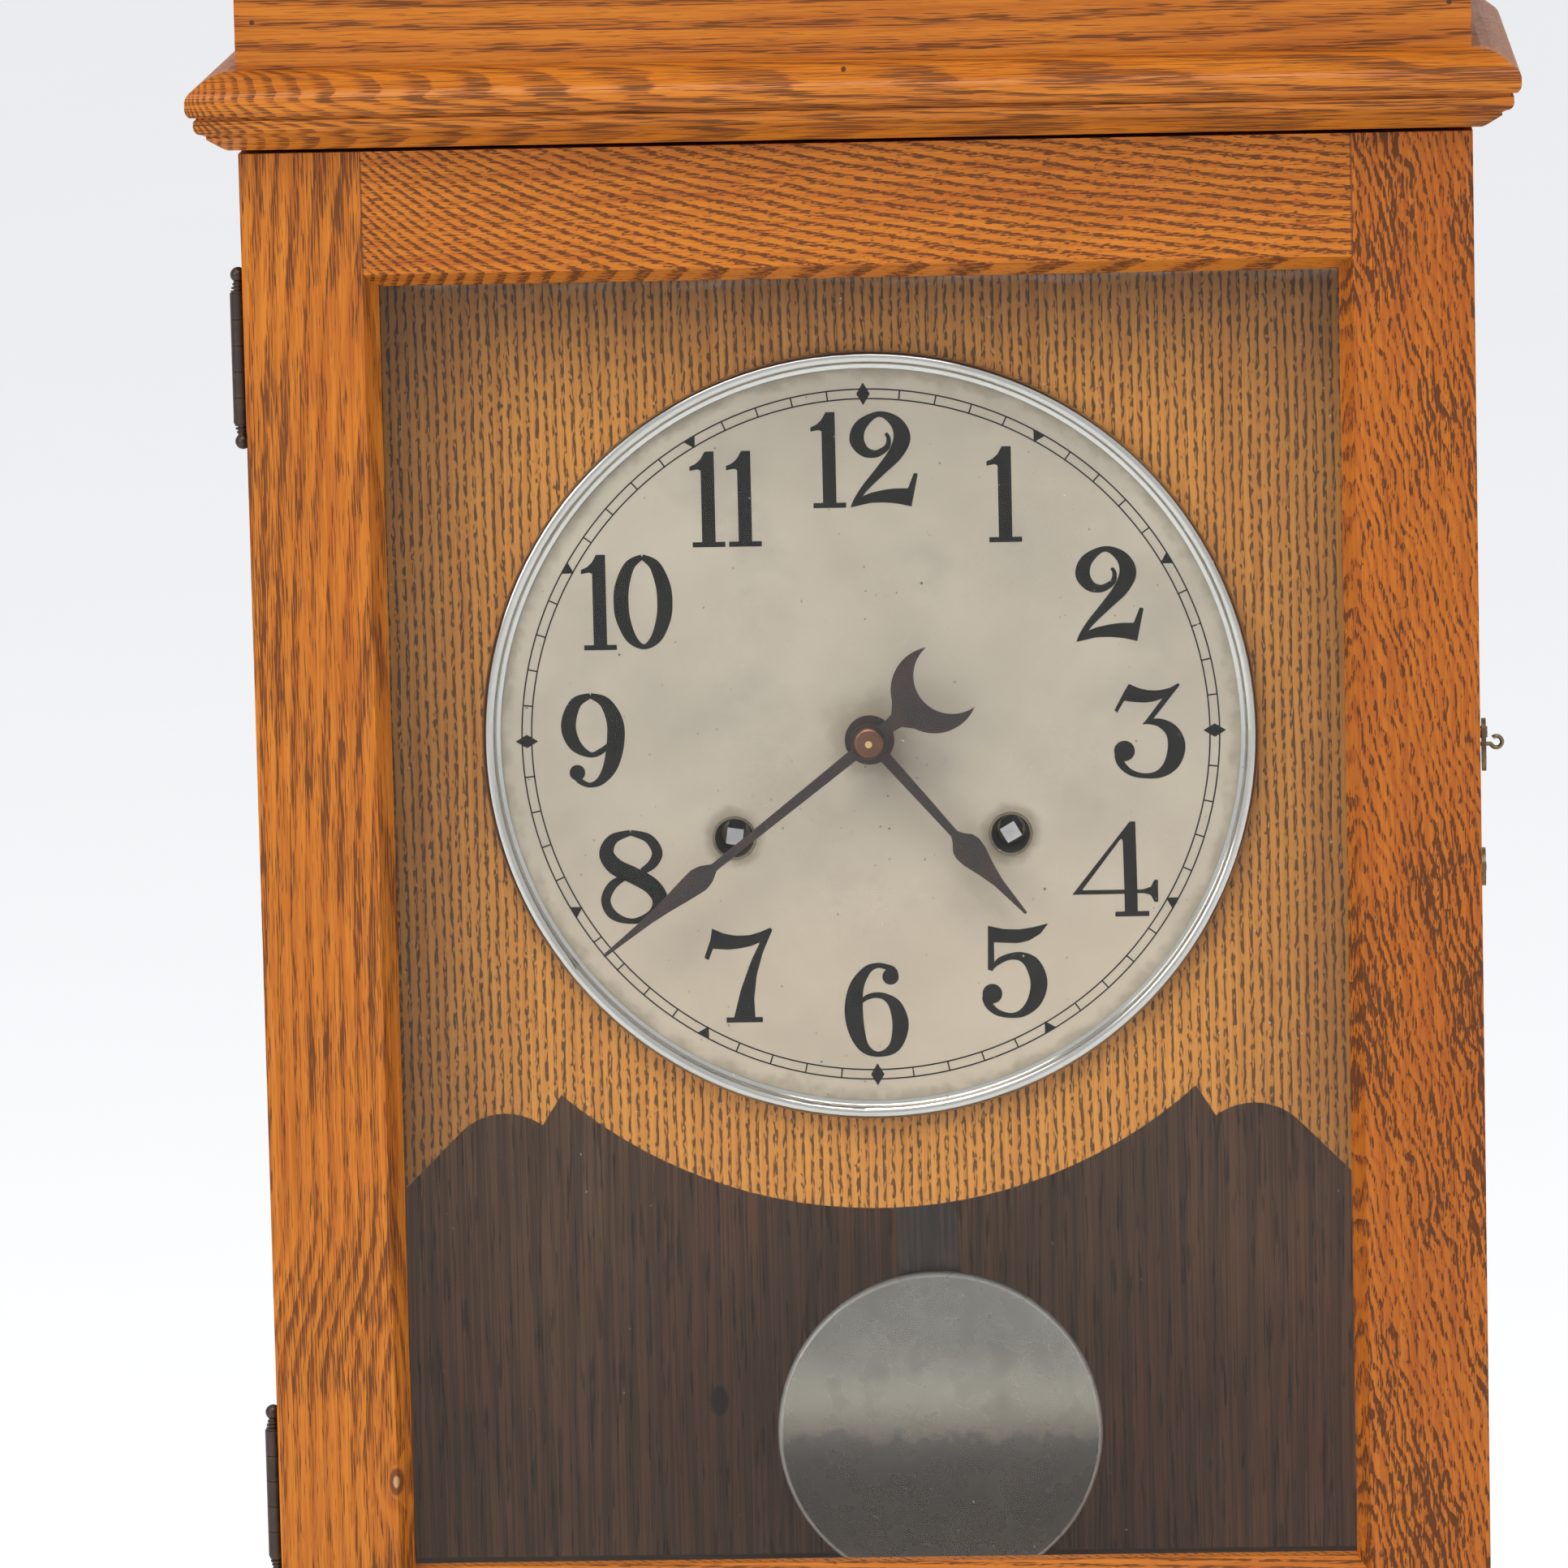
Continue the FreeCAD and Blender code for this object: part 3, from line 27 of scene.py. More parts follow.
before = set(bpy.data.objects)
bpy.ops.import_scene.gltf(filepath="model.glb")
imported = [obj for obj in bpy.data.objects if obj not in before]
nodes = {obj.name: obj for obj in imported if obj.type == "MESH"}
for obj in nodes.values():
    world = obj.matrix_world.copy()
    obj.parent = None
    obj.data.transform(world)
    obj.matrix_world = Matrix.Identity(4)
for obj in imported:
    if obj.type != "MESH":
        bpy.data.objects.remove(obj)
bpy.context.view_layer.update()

dial_low, dial_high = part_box("dial_plate")
GLASS_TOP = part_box("door_glass")[1][2]
RAIL_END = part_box("door_rail_top")[1][0]
DIAL = Vector(((dial_low[0] + dial_high[0]) / 2, dial_low[1], (dial_low[2] + dial_high[2]) / 2))
MM = 0.001

CAMERA_PLACE = (0.1374, -4.1412, 1.3838)
CAMERA_FORWARD = (-0.04196, 0.98721, -0.15381)
CAMERA_UP = (0.01649, 0.15461, 0.98784)
CAMERA_LENS = 237.9  # mm, on a sensor 36 mm wide

TRACK_INNER = 0.1341  # radii of the dial's minute ring
TRACK_OUTER = 0.1379
WINDING_X = 0.0547  # the winding holes, from the dial's centre
WINDING_Z = -0.040


# ---------------------------------------------------------------- camera
def make_camera():
    data = bpy.data.cameras.new("camera")
    data.sensor_width = 36.0
    data.lens = CAMERA_LENS
    data.clip_end = 500.0
    cam = bpy.data.objects.new("camera", data)
    bpy.context.scene.collection.objects.link(cam)
    forward = Vector(CAMERA_FORWARD).normalized()
    right = forward.cross(Vector(CAMERA_UP)).normalized()
    up = right.cross(forward)
    turn = Matrix((right, up, -forward)).transposed().to_4x4()
    cam.matrix_world = Matrix.Translation(CAMERA_PLACE) @ turn
    bpy.context.scene.camera = cam


# ---------------------------------------------------------------- nodes
class Graph:
    """A short way to build a material's nodes."""

    def __init__(self, name):
        self.material = bpy.data.materials.new(name)
        self.material.use_nodes = True
        self.tree = self.material.node_tree
        self.tree.nodes.clear()
        self.output = self.tree.nodes.new("ShaderNodeOutputMaterial")

    def put(self, socket, value):
        if isinstance(value, bpy.types.NodeSocket):
            self.tree.links.new(value, socket)
        elif isinstance(value, (tuple, list)) and len(value) == 3 and socket.type == "RGBA":
            socket.default_value = (*value, 1.0)
        else:
            socket.default_value = value

    def node(self, kind, inputs=None, **settings):
        made = self.tree.nodes.new("ShaderNode" + kind)
        for key, value in settings.items():
            setattr(made, key, value)
        for key, value in (inputs or {}).items():
            self.put(made.inputs[key], value)
        return made

    def math(self, operation, a, b=0.0, c=0.0, clamp=False):
        made = self.node("Math", {0: a, 1: b, 2: c}, operation=operation, use_clamp=clamp)
        return made.outputs[0]

    def add(self, a, b):
        return self.math("ADD", a, b)

    def mul(self, a, b):
        return self.math("MULTIPLY", a, b)

    def between(self, value, low, high, to_low=0.0, to_high=1.0):
        made = self.node("MapRange", {0: value, 1: low, 2: high, 3: to_low, 4: to_high})
        made.interpolation_type = "SMOOTHSTEP"
        return made.outputs[0]

    def place(self):
        return self.node("TexCoord").outputs["Object"]

    def axes(self, vector):
        return self.node("SeparateXYZ", {0: vector}).outputs

    def reach(self, a, b):
        """Length of the vector (a, b)."""
        return self.math("SQRT", self.add(self.mul(a, a), self.mul(b, b)))

    def join(self, x, y, z):
        return self.node("CombineXYZ", {0: x, 1: y, 2: z}).outputs[0]

    def noise(self, vector, scale, detail=3.0, rough=0.55, warp=0.0):
        inputs = {"Vector": vector, "Scale": scale, "Detail": detail, "Roughness": rough, "Distortion": warp}
        return self.node("TexNoise", inputs).outputs["Fac"]

    def mix(self, share, a, b, blend="MIX"):
        made = self.node("Mix", data_type="RGBA", blend_type=blend)
        self.put(made.inputs[0], share)
        self.put(made.inputs[6], a)
        self.put(made.inputs[7], b)
        return made.outputs[2]

    def bump(self, height, strength, distance):
        inputs = {"Height": height, "Strength": strength, "Distance": distance}
        return self.node("Bump", inputs).outputs[0]

    def principled(self, **inputs):
        made = self.node("BsdfPrincipled", {key.replace("_", " "): value for key, value in inputs.items()})
        self.tree.links.new(made.outputs[0], self.output.inputs[0])
        return made


def paint(material, *names):
    for name in names:
        data = nodes[name].data
        data.materials.clear()
        data.materials.append(material)


# ---------------------------------------------------------------- oak
OAK_LIGHT = (0.55, 0.178, 0.015)
OAK_DEEP = (0.33, 0.078, 0.005)
OAK_DARKER = (0.46, 0.136, 0.010)
OAK_RED = (0.27, 0.050, 0.006)
OAK_PORE = (0.075, 0.024, 0.006)


def straight(g, across, grain):
    """Rings that run with the board."""
    return across


def leaning(slope):
    """Rings that cross the board at a slant."""
    return lambda g, across, grain: g.add(across, g.mul(grain, slope))


def swept(start, drop):
    """Rings that start steep at one end and flatten along the board."""
    def figure(g, across, grain):
        run = g.math("MAXIMUM", g.math("SUBTRACT", grain, start), 0.004)
        return g.add(across, g.mul(g.math("LOGARITHM", g.mul(run, 100.0), math.e), drop))
    return figure


def feathered(middle, start, drop):
    """Pointed arches that open out and flatten along the board."""
    def figure(g, across, grain):
        off = g.math("SUBTRACT", across, middle)
        off = g.math("SQRT", g.add(g.mul(off, off), 4e-6))
        return swept(start, drop)(g, g.mul(off, -1.0), grain)
    return figure


def arched(middle, far, squeeze):
    """Long arches round a centre outside or inside the board."""
    def figure(g, across, grain):
        u = g.math("SUBTRACT", across, middle)
        v = g.mul(g.math("SUBTRACT", grain, far), squeeze)
        return g.reach(u, v)
    return figure


def bent_round(g, knot, place, shape, slow):
    """Rings led round a knot at (x, z) of a given radius, and how far each place is from it."""
    kx, kz, radius = knot
    dx = g.math("SUBTRACT", place[0], kx)
    dz = g.mul(g.math("SUBTRACT", place[1], kz), 0.5)
    near = g.add(g.reach(dx, dz), g.mul(slow, 0.004))
    square = g.math("MAXIMUM", g.mul(near, near), 1e-7)
    around = g.mul(dx, g.math("SUBTRACT", 1.0, g.math("DIVIDE", radius * radius, square)))
    inside = g.between(near, radius * 0.9, radius * 1.1, 1.0, 0.0)
    rings = g.math("ABSOLUTE", g.math("SUBTRACT", near, radius))
    bent = g.add(g.mul(g.math("ABSOLUTE", around), g.math("SUBTRACT", 1.0, inside)), g.mul(rings, inside))
    local = g.between(g.math("ABSOLUTE", dz), 0.020, 0.055, 1.0, 0.0)
    return g.add(g.mul(bent, local), g.mul(shape, g.math("SUBTRACT", 1.0, local))), near


def marks(g, colour, place, near, nails, joints):
    """The knot's core, nail heads, and the dark line where two boards meet."""
    x, y, z = place
    if near is not None:
        colour = g.mix(g.between(near, 0.0022, 0.0034, 0.85, 0.0), colour, (0.11, 0.032, 0.010))
        colour = g.mix(g.between(near, 0.0009, 0.0014, 0.9, 0.0), colour, (0.52, 0.30, 0.14))
    for nx, nz in nails:
        away = g.reach(g.math("SUBTRACT", x, nx), g.math("SUBTRACT", z, nz))
        colour = g.mix(g.between(away, 0.0007, 0.0013, 0.9, 0.0), colour, (0.045, 0.022, 0.014))
    if joints is not None:
        axis, place_at, width = joints
        edge = g.math("SUBTRACT", place_at, g.math("ABSOLUTE", {"x": x, "y": y, "z": z}[axis]))
        colour = g.mix(g.between(edge, 0.0, width, 0.85, 0.0), colour, (0.10, 0.030, 0.010))
    return colour


def painted_edge_shade(g, colour, place, shade, deep):
    """Painted shade: the panel darker where it meets the case at a side or the top, where its recess is
    shaded.
    """
    side, top = shade
    dim = g.between(g.math("ABSOLUTE", place[0]), side - 0.070, side + 0.004, 0.0, 0.34)
    dim = g.math("MAXIMUM", dim, g.between(place[1], top - 0.050, top, 0.0, 0.45))
    return g.mix(dim, colour, tuple(c * 0.12 for c in deep))


def oak(name, along, seed, figure=straight, ring=0.0045, wave=0.001, waves=(22.0, 6.0), dash=(640.0, 160.0),
        cover=(0.70, 0.45), light=OAK_LIGHT, deep=OAK_DEEP, pore=OAK_PORE, rays=0.5, ray_size=(900.0, 55.0),
        patches=0.0, knot=None, nails=(), joints=None, clean=0.30, strength=0.78, shade=None):
    """Open-grained oak with a worn varnish.

    along is the axis of the grain.  figure turns a place on the board into a
    distance across the rings.  Pores are dark dashes that crowd together
    where a ring starts; cover gives how rare they are between and at rings.
    """
    g = Graph(name)
    place = g.place()
    x, y, z = g.axes(place)
    across, depth, grain = {"X": (z, y, x), "Z": (x, y, z), "Y": (z, x, y)}[along]

    def stretched(side, length, shift=0.0):
        return g.join(g.add(g.mul(across, side), seed + shift), g.add(g.mul(depth, side), seed * 0.7),
                      g.mul(grain, length))

    slow = g.math("SUBTRACT", g.noise(stretched(waves[0], waves[1]), 1.0, 2.0, 0.5), 0.5)
    shape = figure(g, across, grain)
    near = None
    if knot is not None:
        shape, near = bent_round(g, knot, (x, z), shape, slow)
    distance = g.add(g.add(shape, g.mul(depth, 0.8)), g.mul(slow, 2.0 * wave))
    phase = g.math("FRACT", g.math("DIVIDE", distance, ring))
    rise = g.between(phase, 0.30, 0.72)
    fall = g.between(phase, 0.90, 1.0, 1.0, 0.0)
    early = g.mul(rise, fall)

    spots = g.noise(stretched(dash[0], dash[1], 5.0), 1.0, 1.5, 0.55, 0.25)
    limit = g.add(cover[0], g.mul(early, cover[1] - cover[0]))
    if patches:
        thick = g.between(g.noise(stretched(38.0, 15.0, 9.0), 1.0, 2.0, 0.5), 0.38, 0.66)
        limit = g.add(limit, g.mul(g.math("SUBTRACT", 0.5, thick), patches))
    pores = g.between(g.math("SUBTRACT", spots, limit), -0.012, 0.055)

    fibre = g.noise(stretched(1900.0, 34.0, 2.0), 1.0, 2.0, 0.6)
    streak = g.noise(stretched(330.0, 7.0, 4.0), 1.0, 3.0, 0.65)
    cloud = g.noise(stretched(22.0, 7.0, 7.0), 1.0, 3.0, 0.6)
    base = g.mix(g.between(cloud, 0.30, 0.72), deep, light)
    base = g.mix(g.mul(g.between(streak, 0.30, 0.68), 0.60), light, base)
    base = g.mix(g.mul(g.between(streak, 0.50, 0.70), 0.35), base, deep)
    base = g.mix(g.mul(g.between(fibre, 0.42, 0.66), 0.50), base, deep)
    base = g.mix(g.mul(early, clean), base, OAK_RED)
    thin = g.between(g.noise(stretched(ray_size[0], ray_size[1], 11.0), 1.0, 1.0, 0.4, 0.5), 0.655, 0.72)
    base = g.mix(g.mul(thin, rays), base, OAK_RED)
    colour = g.mix(g.mul(pores, strength), base, pore)
    colour = marks(g, colour, (x, y, z), near, nails, joints)
    # painted shade: the panel darker along its sides and top, where the recess is shaded
    if shade is not None:
        colour = painted_edge_shade(g, colour, (x, z), shade, deep)
    height = g.add(g.mul(pores, -1.0), g.mul(fibre, 0.12))
    rough = g.add(0.33, g.mul(pores, 0.28))
    rough = g.add(rough, g.mul(g.noise(place, 25.0, 3.0), 0.12))
    g.principled(Base_Color=colour, Roughness=rough, Normal=g.bump(height, 0.30, 0.0003),
                 Specular_IOR_Level=0.26)
    return g.material


def plain_wood(name, along, seed, colour, darker, red=None, knot=None):
    """Unpolished boards with fine lines, wide soft figure and stains."""
    g = Graph(name)
    place = g.place()
    x, y, z = g.axes(place)
    across, depth, grain = {"X": (z, y, x), "Z": (x, y, z), "Y": (z, x, y)}[along]

    def stretched(side, length, shift=0.0):
        return g.join(g.add(g.mul(across, side), seed + shift), g.add(g.mul(depth, side), seed * 0.7),
                      g.mul(grain, length))

    slow = g.noise(stretched(9.0, 1.6), 1.0, 1.5)
    rings = g.math("FRACT", g.add(g.mul(across, 95.0), g.mul(slow, 6.0)))
    band = g.mul(g.between(rings, 0.55, 0.85), g.between(rings, 0.92, 1.0, 1.0, 0.0))
    lines = g.between(g.noise(stretched(1150.0, 12.0, 3.0), 1.0, 2.0, 0.6), 0.42, 0.62)
    dashes = g.between(g.noise(stretched(700.0, 45.0, 6.0), 1.0, 1.5, 0.5), 0.58, 0.68)
    cloud = g.between(g.noise(stretched(14.0, 7.0, 8.0), 1.0, 3.0, 0.6), 0.34, 0.66)
    base = g.mix(g.mul(cloud, 0.45), colour, darker)
    if red is not None:
        wide = g.join(g.add(g.mul(x, 7.0), seed), y, g.mul(z, 2.2))
        stain = g.between(g.noise(wide, 1.0, 3.0, 0.6), 0.42, 0.66)
        base = g.mix(g.mul(stain, 0.45), base, red)
    base = g.mix(g.mul(band, 0.45), base, darker)
    base = g.mix(g.mul(lines, 0.65), base, darker)
    tint = tuple(c * 0.30 for c in darker)
    out = g.mix(g.mul(dashes, 0.55), base, tint)
    if knot is not None:
        kx, kz, reach = knot
        dx = g.math("SUBTRACT", x, kx)
        dz = g.mul(g.math("SUBTRACT", z, kz), 0.6)
        near = g.reach(dx, dz)
        out = g.mix(g.between(near, reach * 0.6, reach, 0.8, 0.0), out, tint)
    g.principled(Base_Color=out, Roughness=0.60, Normal=g.bump(g.mul(dashes, -1.0), 0.3, 0.0003))
    return g.material


# ---------------------------------------------------------------- metals
def metal(name, colour, rough, patina=None, amount=0.4, scale=40.0, brushed=0.0, metallic=1.0, bump=0.15,
          uneven=0.35):
    """A metal with tarnish patches, fine scratches and uneven polish."""
    g = Graph(name)
    at = g.place()
    patch = g.between(g.noise(at, scale, 5.0, 0.6), 0.42, 0.68)
    speck = g.between(g.noise(at, scale * 22.0, 2.0, 0.5), 0.66, 0.75)
    colour_out = g.mix(g.mul(patch, amount), colour, patina or tuple(c * 0.5 for c in colour))
    colour_out = g.mix(g.mul(speck, amount), colour_out, tuple(c * 0.25 for c in colour))
    wear = g.noise(at, scale * 4.0, 4.0, 0.6)
    rough_out = g.add(rough, g.mul(g.math("SUBTRACT", wear, 0.45), uneven))
    rough_out = g.add(rough_out, g.mul(patch, 0.3 * uneven))
    height = wear
    if brushed:
        x, y, z = g.axes(at)
        lines = g.noise(g.join(g.mul(x, 40.0), g.mul(y, 900.0), g.mul(z, 2600.0)), 1.0, 2.0)
        height = g.add(height, g.mul(lines, brushed))
    g.principled(Base_Color=colour_out, Metallic=metallic, Roughness=rough_out,
                 Normal=g.bump(height, bump, 0.0003))
    return g.material


def enamel(name, colour, rough, grain=120.0, bump=0.1):
    """Stoved black japan: deep, a little brown, rubbed thin in places."""
    g = Graph(name)
    at = g.place()
    cloud = g.between(g.noise(at, 14.0, 4.0, 0.6), 0.35, 0.7)
    worn = g.between(g.noise(at, 60.0, 5.0, 0.7), 0.60, 0.76)
    drawn = g.node("Mapping", {0: at, 2: (0.4, 0.2, 0.9), 3: (900.0, 900.0, 14.0)}).outputs[0]
    scratch = g.noise(drawn, 1.0, 2.0)
    tone = g.mix(g.mul(cloud, 0.5), colour, tuple(c * 1.6 for c in colour))
    tone = g.mix(g.mul(worn, 0.30), tone, (0.060, 0.045, 0.034))
    rough_out = g.add(g.add(rough, g.mul(worn, 0.20)), g.mul(g.between(scratch, 0.62, 0.72), 0.15))
    g.principled(Base_Color=tone, Roughness=rough_out, Specular_IOR_Level=0.35,
                 Normal=g.bump(g.noise(at, grain, 3.0), bump, 0.0004))
    return g.material


def window_glass():
    """Old glass with dust along its top edge.  Light passes straight in."""
    g = Graph("old_glass")
    at = g.place()
    x, y, z = g.axes(at)
    glass = g.node("BsdfPrincipled")
    glass.inputs["Base Color"].default_value = (0.975, 0.98, 0.97, 1.0)
    top = g.between(z, GLASS_TOP - 0.013, GLASS_TOP - 0.004)
    wisp = g.between(g.noise(g.join(g.mul(x, 25.0), y, g.mul(z, 240.0)), 1.0, 4.0, 0.7, 0.8), 0.40, 0.72)
    speck = g.between(g.noise(at, 620.0, 1.0, 0.4), 0.80, 0.83)
    dust = g.math("MAXIMUM", g.mul(g.mul(top, wisp), 0.11), g.mul(speck, 0.35))
    g.put(glass.inputs["Transmission Weight"], g.math("SUBTRACT", 0.996, dust))
    g.put(glass.inputs["Roughness"], g.add(0.012, g.mul(dust, 0.3)))
    glass.inputs["IOR"].default_value = 1.19
    clear = g.node("BsdfTransparent")
    clear.inputs[0].default_value = (0.93, 0.935, 0.925, 1.0)
    path = g.node("LightPath")
    blend = g.node("MixShader")
    g.tree.links.new(path.outputs["Is Shadow Ray"], blend.inputs[0])
    g.tree.links.new(glass.outputs[0], blend.inputs[1])
    g.tree.links.new(clear.outputs[0], blend.inputs[2])
    g.tree.links.new(blend.outputs[0], g.output.inputs[0])
    return g.material


def dial_paint():
    """Silvered dial: warm grey with a foxed edge, specks and faint stains."""
    g = Graph("silvered_dial")
    at = g.place()
    x, y, z = g.axes(at)
    dx = g.math("SUBTRACT", x, DIAL.x)
    dz = g.math("SUBTRACT", z, DIAL.z)
    radius = g.reach(dx, dz)
    ragged = g.math("SUBTRACT", g.noise(at, 75.0, 4.0, 0.7), 0.5)
    cloud = g.noise(at, 11.0, 4.0, 0.6)
    tone = g.mix(g.between(cloud, 0.3, 0.7), (0.355, 0.313, 0.254), (0.435, 0.384, 0.309))
    stain = g.between(g.noise(at, 24.0, 5.0, 0.66), 0.52, 0.70)
    tone = g.mix(g.mul(stain, 0.42), tone, (0.29, 0.265, 0.22))
    warm = g.between(dz, -0.12, 0.02, 1.0, 0.0)
    tone = g.mix(g.mul(warm, 0.25), tone, (0.58, 0.44, 0.31))
    edge = g.between(g.add(radius, g.mul(ragged, 0.016)), 0.1405, 0.1475)
    tone = g.mix(g.mul(edge, 0.60), tone, (0.18, 0.155, 0.10))
    hub = g.between(g.add(radius, g.mul(ragged, 0.020)), 0.010, 0.022, 1.0, 0.0)
    tone = g.mix(g.mul(hub, 0.55), tone, (0.20, 0.17, 0.12))
    dots = g.node("TexVoronoi", {"Vector": at, "Scale": 85.0, "Randomness": 1.0}).outputs["Distance"]
    size = g.between(g.noise(at, 17.0, 2.0), 0.45, 0.75, 0.0, 0.055)
    spot = g.between(g.math("SUBTRACT", dots, size), 0.0, 0.02, 1.0, 0.0)
    tone = g.mix(g.mul(spot, 0.85), tone, (0.060, 0.048, 0.035))
    tiny = g.between(g.noise(at, 520.0, 1.0, 0.3), 0.76, 0.79)
    tone = g.mix(g.mul(tiny, 0.7), tone, (0.10, 0.085, 0.065))
    for wx in (-WINDING_X, WINDING_X):
        hx = g.math("SUBTRACT", dx, wx)
        hz = g.math("SUBTRACT", dz, WINDING_Z)
        near = g.reach(hx, hz)
        near = g.add(near, g.mul(ragged, 0.008))
        tone = g.mix(g.mul(g.between(near, 0.0085, 0.0140, 1.0, 0.0), 0.65), tone, (0.15, 0.12, 0.08))
    height = g.noise(at, 400.0, 3.0, 0.6)
    g.principled(Base_Color=tone, Roughness=0.45, Metallic=0.10, Normal=g.bump(height, 0.05, 0.0002))
    return g.material


def ink():
    g = Graph("dial_ink")
    at = g.place()
    cloud = g.noise(at, 300.0, 3.0)
    tone = g.mix(g.between(cloud, 0.35, 0.7), (0.007, 0.008, 0.007), (0.013, 0.013, 0.011))
    g.principled(Base_Color=tone, Roughness=0.5, Specular_IOR_Level=0.12)
    return g.material


def bob_metal():
    """Lacquered bob face; painted reflection in bands, and a painted highlight round the rim."""
    g = Graph("bob_face")
    at = g.place()
    x, y, z = g.axes(at)
    low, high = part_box("pendulum_bob")
    middle = (low[2] + high[2]) / 2
    size = (high[2] - low[2]) / 2
    soft = g.math("SUBTRACT", g.noise(at, 30.0, 4.0, 0.65), 0.5)
    crisp = g.math("SUBTRACT", g.noise(at, 85.0, 5.0, 0.68), 0.5)
    height = g.math("SUBTRACT", z, middle)
    # painted reflection: darker top, a light band across the middle, darker cloudy lower part
    reflected_top = g.between(g.add(height, g.mul(soft, 0.020)), 0.010, 0.040)
    reflected_low = g.between(g.add(height, g.mul(crisp, 0.030)), -0.004, 0.001, 1.0, 0.0)
    tone = g.mix(g.mul(reflected_top, 0.85), (0.40, 0.375, 0.315), (0.195, 0.190, 0.175))
    tone = g.mix(g.mul(reflected_low, 0.92), tone, (0.275, 0.272, 0.255))
    haze = g.between(g.noise(at, 36.0, 3.0, 0.55), 0.46, 0.75)
    tone = g.mix(g.mul(haze, 0.28), tone, (0.40, 0.39, 0.35))
    fleck = g.between(g.noise(at, 80.0, 2.0, 0.5), 0.48, 0.76)
    tone = g.mix(g.mul(fleck, 0.18), tone, (0.13, 0.125, 0.115))
    dx = g.math("SUBTRACT", x, (low[0] + high[0]) / 2)
    # painted highlight: a lighter, less metallic ring round the rim
    rim_highlight = g.between(g.reach(dx, height), size - 0.0021, size - 0.0011)
    tone = g.mix(g.mul(rim_highlight, 0.9), tone, (0.62, 0.61, 0.58))
    dull = g.math("SUBTRACT", 0.75, g.mul(rim_highlight, 0.6))
    g.principled(Base_Color=tone, Metallic=dull, Roughness=g.add(0.27, g.mul(fleck, 0.05)))
    return g.material


def stained_wood(name):
    """Dark stained, polished hardwood."""
    g = Graph(name)
    x, y, z = g.axes(g.place())
    lines = g.noise(g.join(g.mul(x, 700.0), g.mul(y, 700.0), g.mul(z, 22.0)), 1.0, 3.0)
    tone = g.mix(g.between(lines, 0.35, 0.7), (0.034, 0.020, 0.014), (0.080, 0.045, 0.028))
    g.principled(Base_Color=tone, Roughness=0.42, Specular_IOR_Level=0.3, Normal=g.bump(lines, 0.1, 0.0003))
    return g.material


def cloth(name):
    g = Graph(name)
    x, y, z = g.axes(g.place())
    warp = g.math("SINE", g.mul(x, 9000.0))
    weft = g.math("SINE", g.mul(z, 9000.0))
    weave = g.mul(warp, weft)
    tone = g.mix(g.between(weave, -1.0, 1.0), (0.012, 0.008, 0.03), (0.04, 0.025, 0.08))
    g.principled(Base_Color=tone, Roughness=0.85, Normal=g.bump(weave, 0.5, 0.0002))
    return g.material


# ---------------------------------------------------------------- pieces
def piece(name, vertices, faces, material, body):
    data = bpy.data.meshes.new(name)
    data.from_pydata(vertices, [], faces)
    data.materials.append(material)
    made = bpy.data.objects.new(name, data)
    bpy.context.scene.collection.objects.link(made)
    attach(made, body)
    return made


class Flat:
    """Gathers thin printed shapes that lie on the dial's face."""

    def __init__(self, y):
        self.y = y
        self.vertices = []
        self.faces = []

    def polygon(self, points, lift=0.0):
        """points are (x, z) metres from the dial's centre, in either order."""
        area = 0.0
        for (ax, az), (bx, bz) in zip(points, points[1:] + points[:1]):
            area += ax * bz - bx * az
        ordered = points if area > 0 else points[::-1]
        start = len(self.vertices)
        for x, z in ordered:
            self.vertices.append((DIAL.x + x, self.y - lift, DIAL.z + z))
        self.faces.append(tuple(range(start, start + len(points))))

    def strip(self, left, right, lift=0.0):
        """A band between two lines of points."""
        start = len(self.vertices)
        for (ax, az), (bx, bz) in zip(left, right):
            self.vertices.append((DIAL.x + ax, self.y - lift, DIAL.z + az))
            self.vertices.append((DIAL.x + bx, self.y - lift, DIAL.z + bz))
        for k in range(len(left) - 1):
            a = start + 2 * k
            self.faces.append((a, a + 1, a + 3, a + 2))

    def ring(self, inner, outer, steps=240):
        turns = [2 * math.pi * k / steps for k in range(steps + 1)]
        self.strip([(inner * math.sin(t), inner * math.cos(t)) for t in turns],
                   [(outer * math.sin(t), outer * math.cos(t)) for t in turns])

    def disc(self, x, z, radius, lift=0.0, steps=36):
        turns = [2 * math.pi * k / steps for k in range(steps)]
        self.polygon([(x + radius * math.cos(t), z + radius * math.sin(t)) for t in turns], lift)


def smooth(points, per=7):
    """Points of a Catmull-Rom curve through the given ones."""
    padded = [points[0]] + list(points) + [points[-1]]
    out = []
    for k in range(len(points) - 1):
        p0, p1, p2, p3 = padded[k:k + 4]
        for step in range(per):
            t = step / per
            value = []
            for a, b, c, d in zip(p0, p1, p2, p3):
                value.append(0.5 * (2 * b + (c - a) * t + (2 * a - 5 * b + 4 * c - d) * t * t
                                    + (3 * b - a - 3 * c + d) * t * t * t))
            out.append(tuple(value))
    out.append(tuple(points[-1]))
    return out


